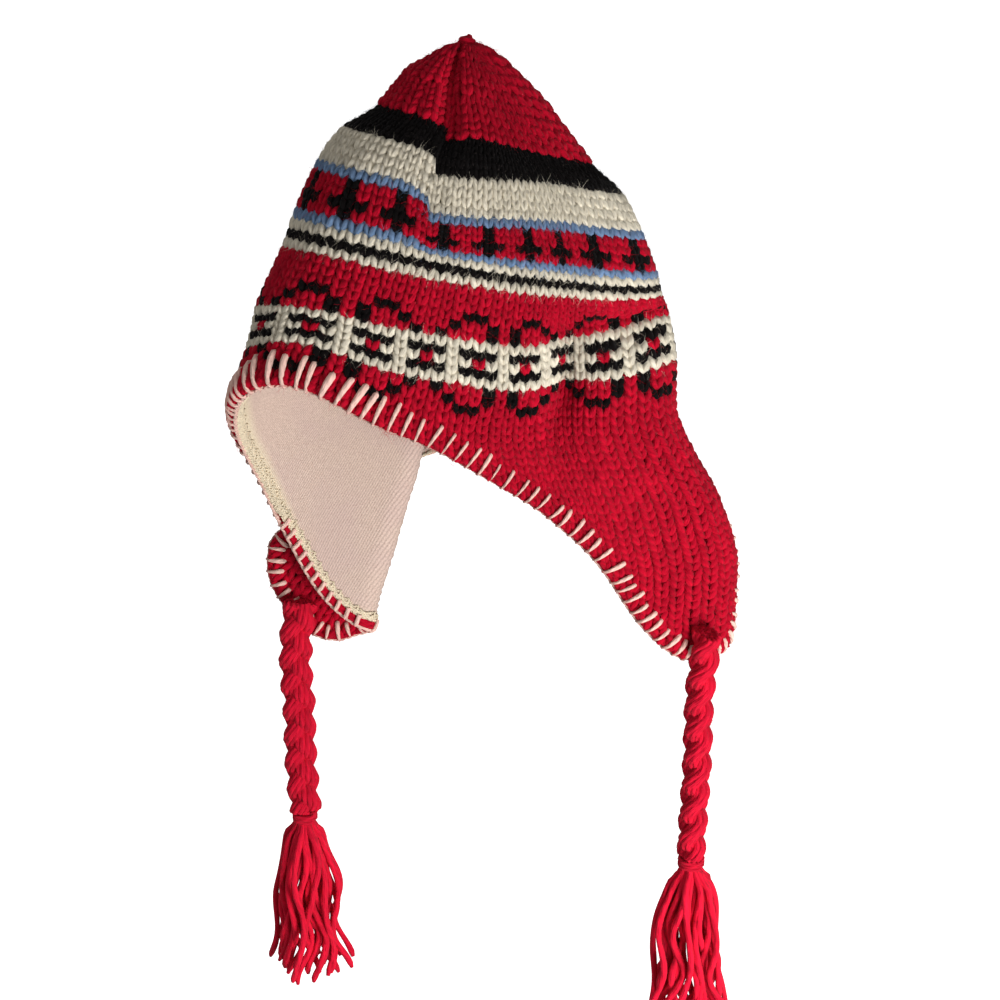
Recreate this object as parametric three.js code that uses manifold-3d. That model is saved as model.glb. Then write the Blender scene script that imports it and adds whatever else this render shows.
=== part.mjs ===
// A knitted chullo hat with two ear flaps, a jersey lining, two braids and their tassels.
// Millimetres, +Z up. The forehead faces -Y and the wearer's left ear is at +X.
// The origin is the top of the hollow, where a head's crown carries the hat.
import * as THREE from "three";
import { mergeVertices } from "three/addons/utils/BufferGeometryUtils.js";
import Module from "manifold-3d";

// Sizes of the knitted form
const HALF_WIDTH = 110; // half of the broad way across the pressed hat, at the rim
const HALF_DEPTH = 55; // half of the narrow way across it
const CROWN_DROP = 188; // from the peak down to the level of the forehead rim
const KNIT_WALL = 4; // thick double yarn knitting
const LINING_WALL = 1.8;
const LAYER_GAP = 0.3; // between the knitting and the lining
const PRESS_TURN = 46; // degrees from the forehead to the direction in which the hat is pressed flat
const PRESS_LEAN = 8; // degrees by which the lower sections turn further

// The knitting, counted in stitches and rows
const STITCHES = 84; // round the hat
const FOREHEAD_STITCH = -6; // stitch at the middle of the forehead, counted from the crown's front crease
const LEFT_END = -12.5; // stitches at the two ends of the broad way
const RIGHT_END = 26.5;
const HOLLOW_ROW = 6.5; // the row where the gathered peak opens into the hollow
const FLAP_ROW = 43; // the row from which the mesh follows the curved rim
const LINING_SHORT = 0.35; // rows by which the lining stops above the rim
const ROW_LENGTH = CROWN_DROP / 45; // down the knitting, for one row
const FLAP_STITCH = 8.4; // width of one stitch on the curled ear flap

// Half sections of the knitting, from the peak down.
// Drop is a share of CROWN_DROP, left, right and shift of HALF_WIDTH, near and far of HALF_DEPTH.
// Square is the exponent of the rounded outline, tilt the slope to the right, turn a share of PRESS_LEAN.
const SECTION_NAMES = ["row", "drop", "left", "right", "near", "far", "square", "shift", "tilt", "turn"];
const SECTIONS = [
  [0, 0, 0.01, 0.01, 0.02, 0.02, 2, 0.02, 0, 0],
  [0.8, 0.005, 0.064, 0.08, 0.09, 0.09, 2, 0.03, 0.05, 0],
  [2.2, 0.032, 0.136, 0.155, 0.165, 0.165, 2, 0.035, 0.12, 0],
  [6, 0.112, 0.29, 0.335, 0.345, 0.345, 2, 0.045, 0.22, 0.25],
  [12, 0.245, 0.48, 0.525, 0.6, 0.545, 2, 0.08, 0.25, 0.5],
  [17, 0.32, 0.655, 0.665, 0.78, 0.69, 2, 0.09, 0.22, 0.62],
  [21, 0.415, 0.755, 0.765, 0.87, 0.78, 2.1, 0.08, 0.2, 0.75],
  [26, 0.527, 0.83, 0.855, 0.96, 0.87, 2.1, 0.065, 0.18, 0.88],
  [30, 0.617, 0.875, 0.91, 0.98, 0.91, 2.1, 0.045, 0.155, 1],
  [36, 0.75, 0.975, 0.98, 1, 0.96, 2.1, 0.02, 0.08, 1],
  [41, 0.867, 1.03, 1.01, 1, 0.98, 2.2, 0.02, 0.06, 1],
  [46, 1, 1.11, 1.02, 1, 0.98, 2.5, 0.01, 0.03, 1],
  [51, 1.122, 1.155, 1.11, 0.98, 0.96, 2.8, 0.01, 0.02, 1],
  [57, 1.271, 1.135, 1.255, 0.91, 0.945, 3, 0.01, 0.02, 1],
  [66, 1.49, 1.055, 1.355, 0.87, 0.91, 2.8, 0.01, 0, 1],
  [80, 1.82, 1.02, 1.355, 0.8, 0.87, 2.6, 0.01, 0, 1],
];

// Where the stitches lie on the near and the far arc between the two ends, as a share of the arc.
const NEAR_NAMES = ["stitch", "share"];
const NEAR_STITCHES = [
  [-12.5, 0], [-8, 0.12], [-4, 0.25], [0, 0.355], [4, 0.45], [8, 0.545],
  [12, 0.625], [16, 0.695], [20, 0.8], [24, 0.935], [26.5, 1],
];
const FAR_NAMES = ["beyond", "share"];
const FAR_STITCHES = [
  [0, 0], [7.5, 0.14], [11.5, 0.215], [15.5, 0.29], [19.5, 0.36], [23.5, 0.425],
  [27.5, 0.5], [33.5, 0.66], [45, 1],
];

// The rim: rows down to it, by stitches from the middle of the forehead.
const RIM_NAMES = ["away", "row"];
const RIM = [
  [0, 45.6], [4, 46], [8, 47.2], [10, 48.4], [12, 50.4], [14, 52.8], [16, 55.2], [18, 58],
  [20, 61.2], [22, 65.8], [24, 70.6], [26, 74.4], [27.3, 75.9], [28.6, 76.2], [29.8, 75.6], [31, 74],
  [32.1, 71], [32.9, 66.6], [33.5, 61.2], [34.3, 55], [35.4, 50.4], [37.2, 48.6], [40, 48], [42, 48],
];

// Stitches by which the far ear flap is wider at its rear, and where that grows and fades, from the forehead.
const FAR_FLAP = { wider: 3.2, from: 28, to: 34, fadeFrom: 34.5, fadeTo: 37.5 };

// Folds and swells: a smooth bump round a stitch and a row, as wide and as long as the next two say.
// Dent is a share of HALF_DEPTH away from the near side, lift of CROWN_DROP, push of HALF_WIDTH to the right.
const FOLD_NAMES = ["stitch", "row", "across", "along", "dent", "lift", "push"];
const FOLDS = [
  [0.5, 8, 1.6, 9, 0.13, 0, 0],
  [14.2, 41, 2.4, 7, 0.29, 0, 0],
  [20.5, 35, 5, 2.6, 0.18, 0.02, 0],
  [-6.5, 50, 4.5, 13, 0, 0.106, 0],
  [24, 38, 4, 7, 0, 0.048, 0],
  [9, 40, 5, 8, 0, -0.027, 0],
  [-28, 66, 10, 15, 0, -0.085, -0.28],
  [-40, 78, 9, 14, 0, -0.03, 0],
];

// The far ear flap curls outwards about a line from its top to the flap's edge.
// Its angle grows down the line, and later the further a stitch lies beyond the line.
const CURL = { topStitch: -38.5, topRow: 46, lowStitch: -30.5, lowRow: 74, angle: 174, fadeFrom: 41, fadeTo: 54 };
const CURL_LAG = { from: 20, rowsPerMm: 0.15 };
const CURL_RADIUS = 5;

// Braids and tassels
const BRAID_BROAD = 19; // a braid of three strands is broader than it is thick
const BRAID_THICK = 12.5;
const NECK_RADIUS = 5.2; // of the tassel, under its tie
const NECK_LENGTH = 10;
const TIE_GAP = 0.35;
const TIE_WALL = 2;
const TIE_LENGTH = 7;
const LOCKS = 10;
const LOCK_RADIUS = 2.6;
const TASSEL_LENGTH = 106;
const TASSEL_SPREAD = 22;
const BRAID_SIDES = 10;
const JOINT_GAP = 0.3; // between a braid's end and its tassel

// Centrelines of the two braids in the pressed hat's axes, from the ear flap down to the tie.
const LEFT_BRAID_ROUTE = [
  [131, -25.6, -306], [130.4, -23, -318], [129.4, -19.6, -332], [128.9, -16.4, -346], [129, -13.6, -362],
  [129.3, -11.8, -378], [129.1, -11, -394], [128.5, -11, -410], [127.9, -11, -426], [127.7, -11, -436],
  [127.7, -11, -442],
];
const RIGHT_BRAID_ROUTE = [
  [-94.6, 43.5, -311], [-96.6, 43.5, -321], [-98.3, 45, -334.5], [-99.2, 47.5, -353], [-98.4, 49.5, -372.5],
  [-98.4, 51, -392], [-98.5, 52, -411], [-97.7, 52, -427], [-97, 52, -438], [-97, 52, -443],
];

const KNIT_RED = 0xc00c2c;
const YARN_RED = 0xdc2a40;
const LINING_CREAM = 0xd8c4b4;

// A table's rows as objects, so that its columns are read by name.
function readTable(names, rows) {
  return rows.map((row) => Object.fromEntries(names.map((name, place) => [name, row[place]])));
}

// A smooth line through the table's values that never overshoots them.
function smoothLine(rows, xName, yName) {
  const x = rows.map((row) => row[xName]);
  const y = rows.map((row) => row[yName]);
  const last = x.length - 1;
  const step = (place) => (y[place + 1] - y[place]) / (x[place + 1] - x[place]);
  const slope = x.map((_, place) => {
    if (place === 0) return step(0);
    if (place === last) return step(last - 1);
    const before = step(place - 1);
    const after = step(place);
    return before * after <= 0 ? 0 : (2 * before * after) / (before + after);
  });
  return (value) => {
    const held = Math.min(Math.max(value, x[0]), x[last]);
    let place = 0;
    while (place < last - 1 && x[place + 1] < held) place += 1;
    const wide = x[place + 1] - x[place];
    const t = (held - x[place]) / wide;
    const s = 1 - t;
    return (
      y[place] * (1 + 2 * t) * s * s +
      y[place + 1] * (3 - 2 * t) * t * t +
      slope[place] * wide * t * s * s -
      slope[place + 1] * wide * t * t * s
    );
  };
}

const sections = readTable(SECTION_NAMES, SECTIONS);
const sectionLine = {};
for (const name of SECTION_NAMES.slice(1)) sectionLine[name] = smoothLine(sections, "row", name);
const nearShare = smoothLine(readTable(NEAR_NAMES, NEAR_STITCHES), "stitch", "share");
const farShare = smoothLine(readTable(FAR_NAMES, FAR_STITCHES), "beyond", "share");
const rimLine = smoothLine(readTable(RIM_NAMES, RIM), "away", "row");
const folds = readTable(FOLD_NAMES, FOLDS);

const wrap = (value, size) => ((value % size) + size) % size;

// The row of the rim under a stitch. The far ear flap is wider at its rear.
function rimRow(stitch) {
  const aside = wrap(stitch - FOREHEAD_STITCH + STITCHES / 2, STITCHES) - STITCHES / 2;
  const away = Math.abs(aside);
  if (aside > 0) return rimLine(away);
  const grown = THREE.MathUtils.smoothstep(away, FAR_FLAP.from, FAR_FLAP.to);
  const faded = THREE.MathUtils.smoothstep(away, FAR_FLAP.fadeFrom, FAR_FLAP.fadeTo);
  return rimLine(away - FAR_FLAP.wider * (grown - faded));
}

// One level section: a closed outline in the pressed hat's own axes, with its running length.
const OUTLINE_STEPS = 240;
const ROW_STEP = 0.5;
const outlines = new Map();
function outline(place) {
  if (outlines.has(place)) return outlines.get(place);
  const row = place * ROW_STEP;
  const power = 2 / sectionLine.square(row);
  const points = [];
  const run = [0];
  for (let i = 0; i <= OUTLINE_STEPS; i += 1) {
    const angle = (2 * Math.PI * i) / OUTLINE_STEPS;
    const s = Math.sin(angle);
    const c = Math.cos(angle);
    const width = HALF_WIDTH * (s > 0 ? sectionLine.right(row) : sectionLine.left(row));
    const depth = HALF_DEPTH * (c > 0 ? sectionLine.near(row) : sectionLine.far(row));
    points.push([Math.sign(s) * Math.abs(s) ** power * width, -Math.sign(c) * Math.abs(c) ** power * depth]);
    if (i > 0) run.push(run[i - 1] + Math.hypot(points[i][0] - points[i - 1][0], points[i][1] - points[i - 1][1]));
  }
  const turn = THREE.MathUtils.degToRad(PRESS_LEAN * sectionLine.turn(row));
  const made = { points, run, row, turn };
  outlines.set(place, made);
  return made;
}

// A stitch's place on one section.
function onOutline(place, stitch) {
  const { points, run, row, turn } = outline(place);
  const rightRun = run[OUTLINE_STEPS / 4];
  const leftRun = run[(3 * OUTLINE_STEPS) / 4];
  const whole = run[OUTLINE_STEPS];
  const past = wrap(stitch - LEFT_END, STITCHES);
  const nearWide = RIGHT_END - LEFT_END;
  let length;
  if (past <= nearWide) length = wrap(leftRun + nearShare(past + LEFT_END) * (whole - leftRun + rightRun), whole);
  else length = leftRun - farShare(STITCHES - past) * (leftRun - rightRun);
  let low = 0;
  let high = OUTLINE_STEPS;
  while (high - low > 1) {
    const middle = (low + high) >> 1;
    if (run[middle] <= length) low = middle;
    else high = middle;
  }
  const t = (length - run[low]) / Math.max(run[high] - run[low], 1e-9);
  const across = points[low][0] * (1 - t) + points[high][0] * t;
  const back = points[low][1] * (1 - t) + points[high][1] * t;
  const turned = across * Math.cos(turn) - back * Math.sin(turn);
  return new THREE.Vector3(
    turned + HALF_WIDTH * sectionLine.shift(row),
    across * Math.sin(turn) + back * Math.cos(turn),
    -CROWN_DROP * sectionLine.drop(row) - sectionLine.tilt(row) * turned,
  );
}

// The knitting's outer face before the far flap curls.
function openPoint(stitch, row) {
  const place = Math.floor(row / ROW_STEP);
  const point = onOutline(place, stitch).lerp(onOutline(place + 1, stitch), row / ROW_STEP - place);
  for (const fold of folds) {
    const aside = wrap(stitch - fold.stitch + STITCHES / 2, STITCHES) - STITCHES / 2;
    const swell = Math.exp(-((aside / fold.across) ** 2) - ((row - fold.row) / fold.along) ** 2);
    point.x += swell * fold.push * HALF_WIDTH;
    point.y += swell * fold.dent * HALF_DEPTH;
    point.z += swell * fold.lift * CROWN_DROP;
  }
  return point;
}

const CURL_END_STITCH = 56; // stitches past the crown's front crease, on the far side, at which the curl has ended
const LAST_ROW = 80;

// The knitting's outer face.
function facePoint(stitch, row) {
  const point = openPoint(stitch, row);
  const signed = wrap(stitch + CURL_END_STITCH, STITCHES) - CURL_END_STITCH;
  if (signed > CURL.lowStitch + 2) return point;
  const line = new THREE.Vector2(
    (CURL.topStitch - CURL.lowStitch) * FLAP_STITCH,
    (CURL.lowRow - CURL.topRow) * ROW_LENGTH,
  );
  const lineLength = line.length();
  line.normalize();
  const spot = new THREE.Vector2((CURL.topStitch - signed) * FLAP_STITCH, (row - CURL.topRow) * ROW_LENGTH);
  const beyond = spot.x * line.y - spot.y * line.x;
  if (beyond <= 0) return point;
  const along = (spot.x * line.x + spot.y * line.y) / lineLength;
  const foldStitch = CURL.topStitch + (CURL.lowStitch - CURL.topStitch) * along;
  const foldRow = THREE.MathUtils.clamp(CURL.topRow + (CURL.lowRow - CURL.topRow) * along, 1, LAST_ROW - 2);
  const lag = Math.max(beyond - CURL_LAG.from, 0) * CURL_LAG.rowsPerMm;
  const fade = THREE.MathUtils.smoothstep(foldRow - lag, CURL.fadeFrom, CURL.fadeTo);
  const angle = Math.max(THREE.MathUtils.degToRad(CURL.angle) * fade, 1e-6);
  const onLine = openPoint(foldStitch, foldRow);
  const stitchWay = openPoint(foldStitch - 2, foldRow).sub(openPoint(foldStitch + 2, foldRow));
  const downWay = openPoint(foldStitch, foldRow + 1.5).sub(openPoint(foldStitch, foldRow - 1.5));
  const outWay = new THREE.Vector3().crossVectors(stitchWay, downWay).normalize();
  const ahead = 0.05;
  const aheadStitch = foldStitch + (CURL.lowStitch - CURL.topStitch) * ahead;
  const aheadRow = foldRow + (CURL.lowRow - CURL.topRow) * ahead;
  const foldWay = openPoint(aheadStitch, aheadRow).sub(onLine).normalize();
  const acrossWay = new THREE.Vector3().crossVectors(foldWay, outWay).normalize();
  const bent = Math.min(beyond / CURL_RADIUS, angle);
  const rest = Math.max(beyond - CURL_RADIUS * angle, 0);
  const acrossMove = CURL_RADIUS * Math.sin(bent) + rest * Math.cos(angle) - beyond;
  const outMove = CURL_RADIUS * (1 - Math.cos(bent)) + rest * Math.sin(angle);
  return point.addScaledVector(acrossWay, acrossMove).addScaledVector(outWay, outMove);
}

// The direction out of the knitting at a stitch and row.
function outward(stitch, row) {
  const side = facePoint(stitch + 0.4, row).sub(facePoint(stitch - 0.4, row));
  const down = facePoint(stitch, Math.min(row + 0.5, LAST_ROW - 1)).sub(facePoint(stitch, Math.max(row - 0.5, 0.1)));
  return down.cross(side).normalize();
}

// The hat's frame: turned so that the forehead faces -Y, with the seat on the head at the origin.
const pressTurn = THREE.MathUtils.degToRad(PRESS_TURN);
const seat = new THREE.Vector3(
  HALF_WIDTH * sectionLine.shift(HOLLOW_ROW),
  0,
  -CROWN_DROP * sectionLine.drop(HOLLOW_ROW) - KNIT_WALL - LAYER_GAP - LINING_WALL,
);
const toHat = (point) => point.sub(seat).applyAxisAngle(new THREE.Vector3(0, 0, 1), pressTurn);

// Stitches and rows at which the walls have their corners: spans with their number of steps.
const STITCH_SPANS = [
  { from: -12, to: 12, steps: 11 },
  { from: 12, to: 17, steps: 5 },
  { from: 17, to: 26, steps: 6 },
  { from: 26, to: 31, steps: 6 },
  { from: 31, to: 41, steps: 3 },
  { from: 41, to: 46, steps: 6 },
  { from: 46, to: 50, steps: 3 },
  { from: 50, to: 56, steps: 7 },
  { from: 56, to: 72, steps: 8 },
];
const BODY_ROWS = [0.8, 2.2, 4, 6.5, 9.5, 12.5, 16, 19.5, 23, 26.5, 30, 32.5, 35, 37.5, 40, 43];
const FLAP_STEPS = 6;
const stitchPlaces = STITCH_SPANS.flatMap(({ from, to, steps }) =>
  Array.from({ length: steps }, (_, i) => from + ((to - from) * i) / steps),
);

// Rows of one stitch column from a first row down to the rim.
function rowPlaces(stitch, firstRow) {
  const rim = rimRow(stitch);
  const body = BODY_ROWS.filter((row) => row >= firstRow);
  const flap = Array.from({ length: FLAP_STEPS }, (_, i) => FLAP_ROW + ((rim - FLAP_ROW) * (i + 1)) / FLAP_STEPS);
  return [...body, ...flap];
}

// A closed wall between two depths under the knitting's outer face, which stops some rows short of the rim.
function wallGeometry(outerDepth, innerDepth, outerRow, innerRow, short) {
  const vertices = [];
  const triangles = [];
  const add = (point) => vertices.push(toHat(point)) - 1;
  const layer = (depth, firstRow) => {
    const columns = stitchPlaces.map((stitch) => {
      const rows = rowPlaces(stitch, firstRow);
      const points = rows.map((row) => facePoint(stitch, row).addScaledVector(outward(stitch, row), -depth));
      points.at(-1).lerp(points.at(-2), short / (rows.at(-1) - rows.at(-2)));
      return points.map(add);
    });
    const middle = new THREE.Vector3();
    for (const column of columns) middle.addScaledVector(vertices[column[0]], 1 / columns.length);
    const rise = firstRow === BODY_ROWS[0] ? CROWN_DROP * sectionLine.drop(firstRow) * 2 : 0;
    vertices.push(middle.add(new THREE.Vector3(0, 0, rise)));
    return { columns, top: vertices.length - 1 };
  };
  const outer = layer(outerDepth, outerRow);
  const inner = layer(innerDepth, innerRow);
  const quad = (a, b, c, d) => triangles.push(a, b, c, a, c, d);
  const count = stitchPlaces.length;
  for (let i = 0; i < count; i += 1) {
    const j = (i + 1) % count;
    for (const { columns, top, flip } of [{ ...outer, flip: false }, { ...inner, flip: true }]) {
      const here = columns[i];
      const next = columns[j];
      if (flip) triangles.push(top, next[0], here[0]);
      else triangles.push(top, here[0], next[0]);
      for (let k = 0; k + 1 < here.length; k += 1) {
        if (flip) quad(here[k], next[k], next[k + 1], here[k + 1]);
        else quad(here[k], here[k + 1], next[k + 1], next[k]);
      }
    }
    const outerRim = [outer.columns[i].at(-1), outer.columns[j].at(-1)];
    const innerRim = [inner.columns[i].at(-1), inner.columns[j].at(-1)];
    quad(outerRim[0], innerRim[0], innerRim[1], outerRim[1]);
  }
  const geometry = new THREE.BufferGeometry();
  geometry.setAttribute("position", new THREE.Float32BufferAttribute(vertices.flatMap((v) => v.toArray()), 3));
  geometry.setIndex(triangles);
  geometry.computeVertexNormals();
  return geometry;
}

// A braid as a plain tube of its outer section along its centreline.
function braidGeometry(route, broadAngle) {
  const curve = new THREE.CatmullRomCurve3(route);
  const section = new THREE.Shape();
  for (let i = 0; i < BRAID_SIDES; i += 1) {
    const angle = (2 * Math.PI * i) / BRAID_SIDES;
    const x = (BRAID_BROAD / 2) * Math.cos(angle);
    const y = (BRAID_THICK / 2) * Math.sin(angle);
    const turned = [
      x * Math.cos(broadAngle) - y * Math.sin(broadAngle),
      x * Math.sin(broadAngle) + y * Math.cos(broadAngle),
    ];
    if (i === 0) section.moveTo(...turned);
    else section.lineTo(...turned);
  }
  section.closePath();
  return new THREE.ExtrudeGeometry(section, { steps: route.length + 1, extrudePath: curve, bevelEnabled: false });
}

const wasm = await Module();
wasm.setup();

// A closed mesh as a solid, and back.
function solidOf(geometry) {
  const bare = geometry.clone();
  bare.deleteAttribute("normal");
  bare.deleteAttribute("uv");
  const merged = mergeVertices(bare, 1e-4);
  return new wasm.Manifold(
    new wasm.Mesh({
      numProp: 3,
      vertProperties: merged.attributes.position.array,
      triVerts: new Uint32Array(merged.index.array),
    }),
  );
}

function geometryOf(solid) {
  const mesh = solid.getMesh();
  const geometry = new THREE.BufferGeometry();
  geometry.setAttribute("position", new THREE.BufferAttribute(new Float32Array(mesh.vertProperties), 3));
  geometry.setIndex(new THREE.BufferAttribute(new Uint32Array(mesh.triVerts), 1));
  geometry.computeVertexNormals();
  return geometry;
}

// One wavy lock of yarn that hangs from the neck and swings outwards.
function lockGeometry(index) {
  const angle = (2 * Math.PI * index * 3) / LOCKS;
  const out = index % 3 === 0 ? 0.45 : 0.8 + 0.2 * Math.sin(index * 2.1);
  const length = TASSEL_LENGTH * (0.9 + 0.1 * Math.cos(index * 1.7));
  const points = [0, 0.25, 0.5, 0.75, 1].map((share) => {
    const swing = NECK_RADIUS * 0.3 + TASSEL_SPREAD * out * share ** 0.8;
    const sway = LOCK_RADIUS * Math.sin(index * 1.3 + share * 5) * share;
    return new THREE.Vector3(
      Math.cos(angle) * swing - Math.sin(angle) * sway,
      Math.sin(angle) * swing + Math.cos(angle) * sway,
      -NECK_LENGTH - (length - NECK_LENGTH) * share,
    );
  });
  const section = new THREE.Shape();
  const sides = 6;
  for (let i = 0; i < sides; i += 1) {
    const turn = (2 * Math.PI * i) / sides;
    const spot = [LOCK_RADIUS * Math.cos(turn), LOCK_RADIUS * Math.sin(turn)];
    if (i === 0) section.moveTo(...spot);
    else section.lineTo(...spot);
  }
  section.closePath();
  const curve = new THREE.CatmullRomCurve3(points);
  return new THREE.ExtrudeGeometry(section, { steps: 5, extrudePath: curve, bevelEnabled: false });
}

// A tassel: its neck, its swelling head and its locks, fused.
function tasselGeometry() {
  const profile = [
    [0, 0],
    [NECK_RADIUS, 0],
    [NECK_RADIUS, -NECK_LENGTH],
    [NECK_RADIUS * 1.7, -NECK_LENGTH * 1.9],
    [NECK_RADIUS * 1.5, -NECK_LENGTH * 3.2],
    [0, -NECK_LENGTH * 4],
  ];
  const head = new THREE.LatheGeometry(profile.reverse().map(([x, y]) => new THREE.Vector2(x, y)), 12);
  head.rotateX(Math.PI / 2);
  let solid = solidOf(head);
  for (let index = 0; index < LOCKS; index += 1) solid = solid.add(solidOf(lockGeometry(index)));
  return geometryOf(solid);
}

// The tie of yarn wound round a tassel's neck.
function tieGeometry() {
  const inner = NECK_RADIUS + TIE_GAP;
  const outer = inner + TIE_WALL;
  const round = TIE_WALL * 0.4;
  const top = -(NECK_LENGTH - TIE_LENGTH) / 2;
  const low = top - TIE_LENGTH;
  const profile = [
    [inner, low],
    [outer - round, low],
    [outer, low + round],
    [outer, top - round],
    [outer - round, top],
    [inner, top],
    [inner, low],
  ];
  const tie = new THREE.LatheGeometry(profile.map(([x, y]) => new THREE.Vector2(x, y)), 14);
  tie.rotateX(Math.PI / 2);
  return tie;
}

const material = (color, roughness) => new THREE.MeshStandardMaterial({ color, roughness, metalness: 0 });

const hat = new THREE.Group();

function addPiece(name, geometry, look, place) {
  const mesh = new THREE.Mesh(geometry, look);
  mesh.name = name;
  if (place) mesh.position.copy(place);
  hat.add(mesh);
}

const liningTop = KNIT_WALL + LAYER_GAP;
addPiece("knit_shell", wallGeometry(0, KNIT_WALL, BODY_ROWS[0], HOLLOW_ROW, 0), material(KNIT_RED, 0.95));

addPiece(
  "lining",
  wallGeometry(liningTop, liningTop + LINING_WALL, HOLLOW_ROW, HOLLOW_ROW, LINING_SHORT),
  material(LINING_CREAM, 0.95),
);

const BRAIDS = [
  { side: "left", route: LEFT_BRAID_ROUTE, broadTurn: 0 },
  { side: "right", route: RIGHT_BRAID_ROUTE, broadTurn: 90 },
];
for (const { side, route, broadTurn } of BRAIDS) {
  const angle = THREE.MathUtils.degToRad(broadTurn + PRESS_TURN);
  const centreline = route.map((point) => toHat(new THREE.Vector3(...point)));
  addPiece(`braid_${side}`, braidGeometry(centreline, angle), material(YARN_RED, 0.9));
  const end = centreline.at(-1).clone().add(new THREE.Vector3(0, 0, -JOINT_GAP));
  addPiece(`tassel_${side}`, tasselGeometry(), material(YARN_RED, 0.9), end);
  addPiece(`tie_${side}`, tieGeometry(), material(YARN_RED, 0.9), end);
}

export default hat;
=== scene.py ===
"""A knitted chullo hat: charted wool stitches, a jersey lining, a stitched rim, plaits and tassels."""
import logging
import math
from collections.abc import Callable
from dataclasses import dataclass
from enum import Enum
from typing import Any

import bpy
import numpy as np
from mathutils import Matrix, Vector


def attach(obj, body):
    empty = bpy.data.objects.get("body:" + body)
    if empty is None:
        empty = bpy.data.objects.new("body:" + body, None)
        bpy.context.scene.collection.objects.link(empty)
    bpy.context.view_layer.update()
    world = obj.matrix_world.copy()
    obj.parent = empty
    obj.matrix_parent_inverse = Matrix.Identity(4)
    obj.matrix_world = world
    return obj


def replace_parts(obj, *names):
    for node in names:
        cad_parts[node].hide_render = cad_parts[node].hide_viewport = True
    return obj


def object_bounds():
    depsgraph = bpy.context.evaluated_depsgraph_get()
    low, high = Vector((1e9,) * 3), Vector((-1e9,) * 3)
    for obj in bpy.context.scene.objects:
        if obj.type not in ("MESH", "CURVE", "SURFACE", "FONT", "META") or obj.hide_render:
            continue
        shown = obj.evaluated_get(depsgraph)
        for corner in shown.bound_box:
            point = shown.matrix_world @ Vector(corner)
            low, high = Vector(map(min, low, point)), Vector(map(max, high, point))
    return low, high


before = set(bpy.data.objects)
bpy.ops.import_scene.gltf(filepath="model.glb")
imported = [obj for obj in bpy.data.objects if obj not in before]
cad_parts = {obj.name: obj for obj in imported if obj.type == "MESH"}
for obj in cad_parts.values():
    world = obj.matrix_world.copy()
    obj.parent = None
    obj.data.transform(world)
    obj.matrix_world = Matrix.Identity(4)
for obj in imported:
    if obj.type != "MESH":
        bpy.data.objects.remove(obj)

CAD_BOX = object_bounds()
MM = 0.001
BODY = "root"
log = logging.getLogger("chullo")


class Wool(Enum):
    """The dyed yarns, as linear colours."""

    CRIMSON = (0.42, 0.003, 0.018)
    BLACK = (0.004, 0.003, 0.003)
    CREAM = (0.66, 0.60, 0.48)
    BLUE = (0.14, 0.22, 0.36)
    SCARLET = (0.56, 0.007, 0.028)
    STITCHING = (0.80, 0.52, 0.44)
    EDGING = (0.78, 0.66, 0.48)


@dataclass(frozen=True)
class Table:
    """Sizes listed in rows with named columns."""

    names: tuple[str, ...]
    rows: tuple[tuple, ...]

    def __getitem__(self, name: str) -> np.ndarray:
        """One named column as floats."""
        place = self.names.index(name)
        return np.array([row[place] for row in self.rows], dtype=float)


# Half sections of the knitting, from the peak down.
# Drop is a share of crown_drop, left, right and shift of half_width, near and far of half_depth.
# Square is the exponent of the rounded outline, tilt the slope to the right, turn a share of press_lean.
SECTIONS = Table(("row", "drop", "left", "right", "near", "far", "square", "shift", "tilt", "turn"), (
    (0, 0, 0.01, 0.01, 0.02, 0.02, 2, 0.02, 0, 0),
    (0.8, 0.005, 0.064, 0.08, 0.09, 0.09, 2, 0.03, 0.05, 0),
    (2.2, 0.032, 0.136, 0.155, 0.165, 0.165, 2, 0.035, 0.12, 0),
    (6, 0.112, 0.29, 0.335, 0.345, 0.345, 2, 0.045, 0.22, 0.25),
    (12, 0.245, 0.48, 0.525, 0.6, 0.545, 2, 0.08, 0.25, 0.5),
    (17, 0.32, 0.655, 0.665, 0.78, 0.69, 2, 0.09, 0.22, 0.62),
    (21, 0.415, 0.755, 0.765, 0.87, 0.78, 2.1, 0.08, 0.2, 0.75),
    (26, 0.527, 0.83, 0.855, 0.96, 0.87, 2.1, 0.065, 0.18, 0.88),
    (30, 0.617, 0.875, 0.91, 0.98, 0.91, 2.1, 0.045, 0.155, 1),
    (36, 0.75, 0.975, 0.98, 1, 0.96, 2.1, 0.02, 0.08, 1),
    (41, 0.867, 1.03, 1.01, 1, 0.98, 2.2, 0.02, 0.06, 1),
    (46, 1, 1.11, 1.02, 1, 0.98, 2.5, 0.01, 0.03, 1),
    (51, 1.122, 1.155, 1.11, 0.98, 0.96, 2.8, 0.01, 0.02, 1),
    (57, 1.271, 1.135, 1.255, 0.91, 0.945, 3, 0.01, 0.02, 1),
    (66, 1.49, 1.055, 1.355, 0.87, 0.91, 2.8, 0.01, 0, 1),
    (80, 1.82, 1.02, 1.355, 0.8, 0.87, 2.6, 0.01, 0, 1),
))

# Where the stitches lie on the near and the far arc between the two ends, as a share of the arc.
NEAR_STITCHES = Table(("stitch", "share"), (
    (-12.5, 0), (-8, 0.12), (-4, 0.25), (0, 0.355), (4, 0.45), (8, 0.545),
    (12, 0.625), (16, 0.695), (20, 0.8), (24, 0.935), (26.5, 1),
))
FAR_STITCHES = Table(("beyond", "share"), (
    (0, 0), (7.5, 0.14), (11.5, 0.215), (15.5, 0.29), (19.5, 0.36), (23.5, 0.425),
    (27.5, 0.5), (33.5, 0.66), (45, 1),
))

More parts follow.
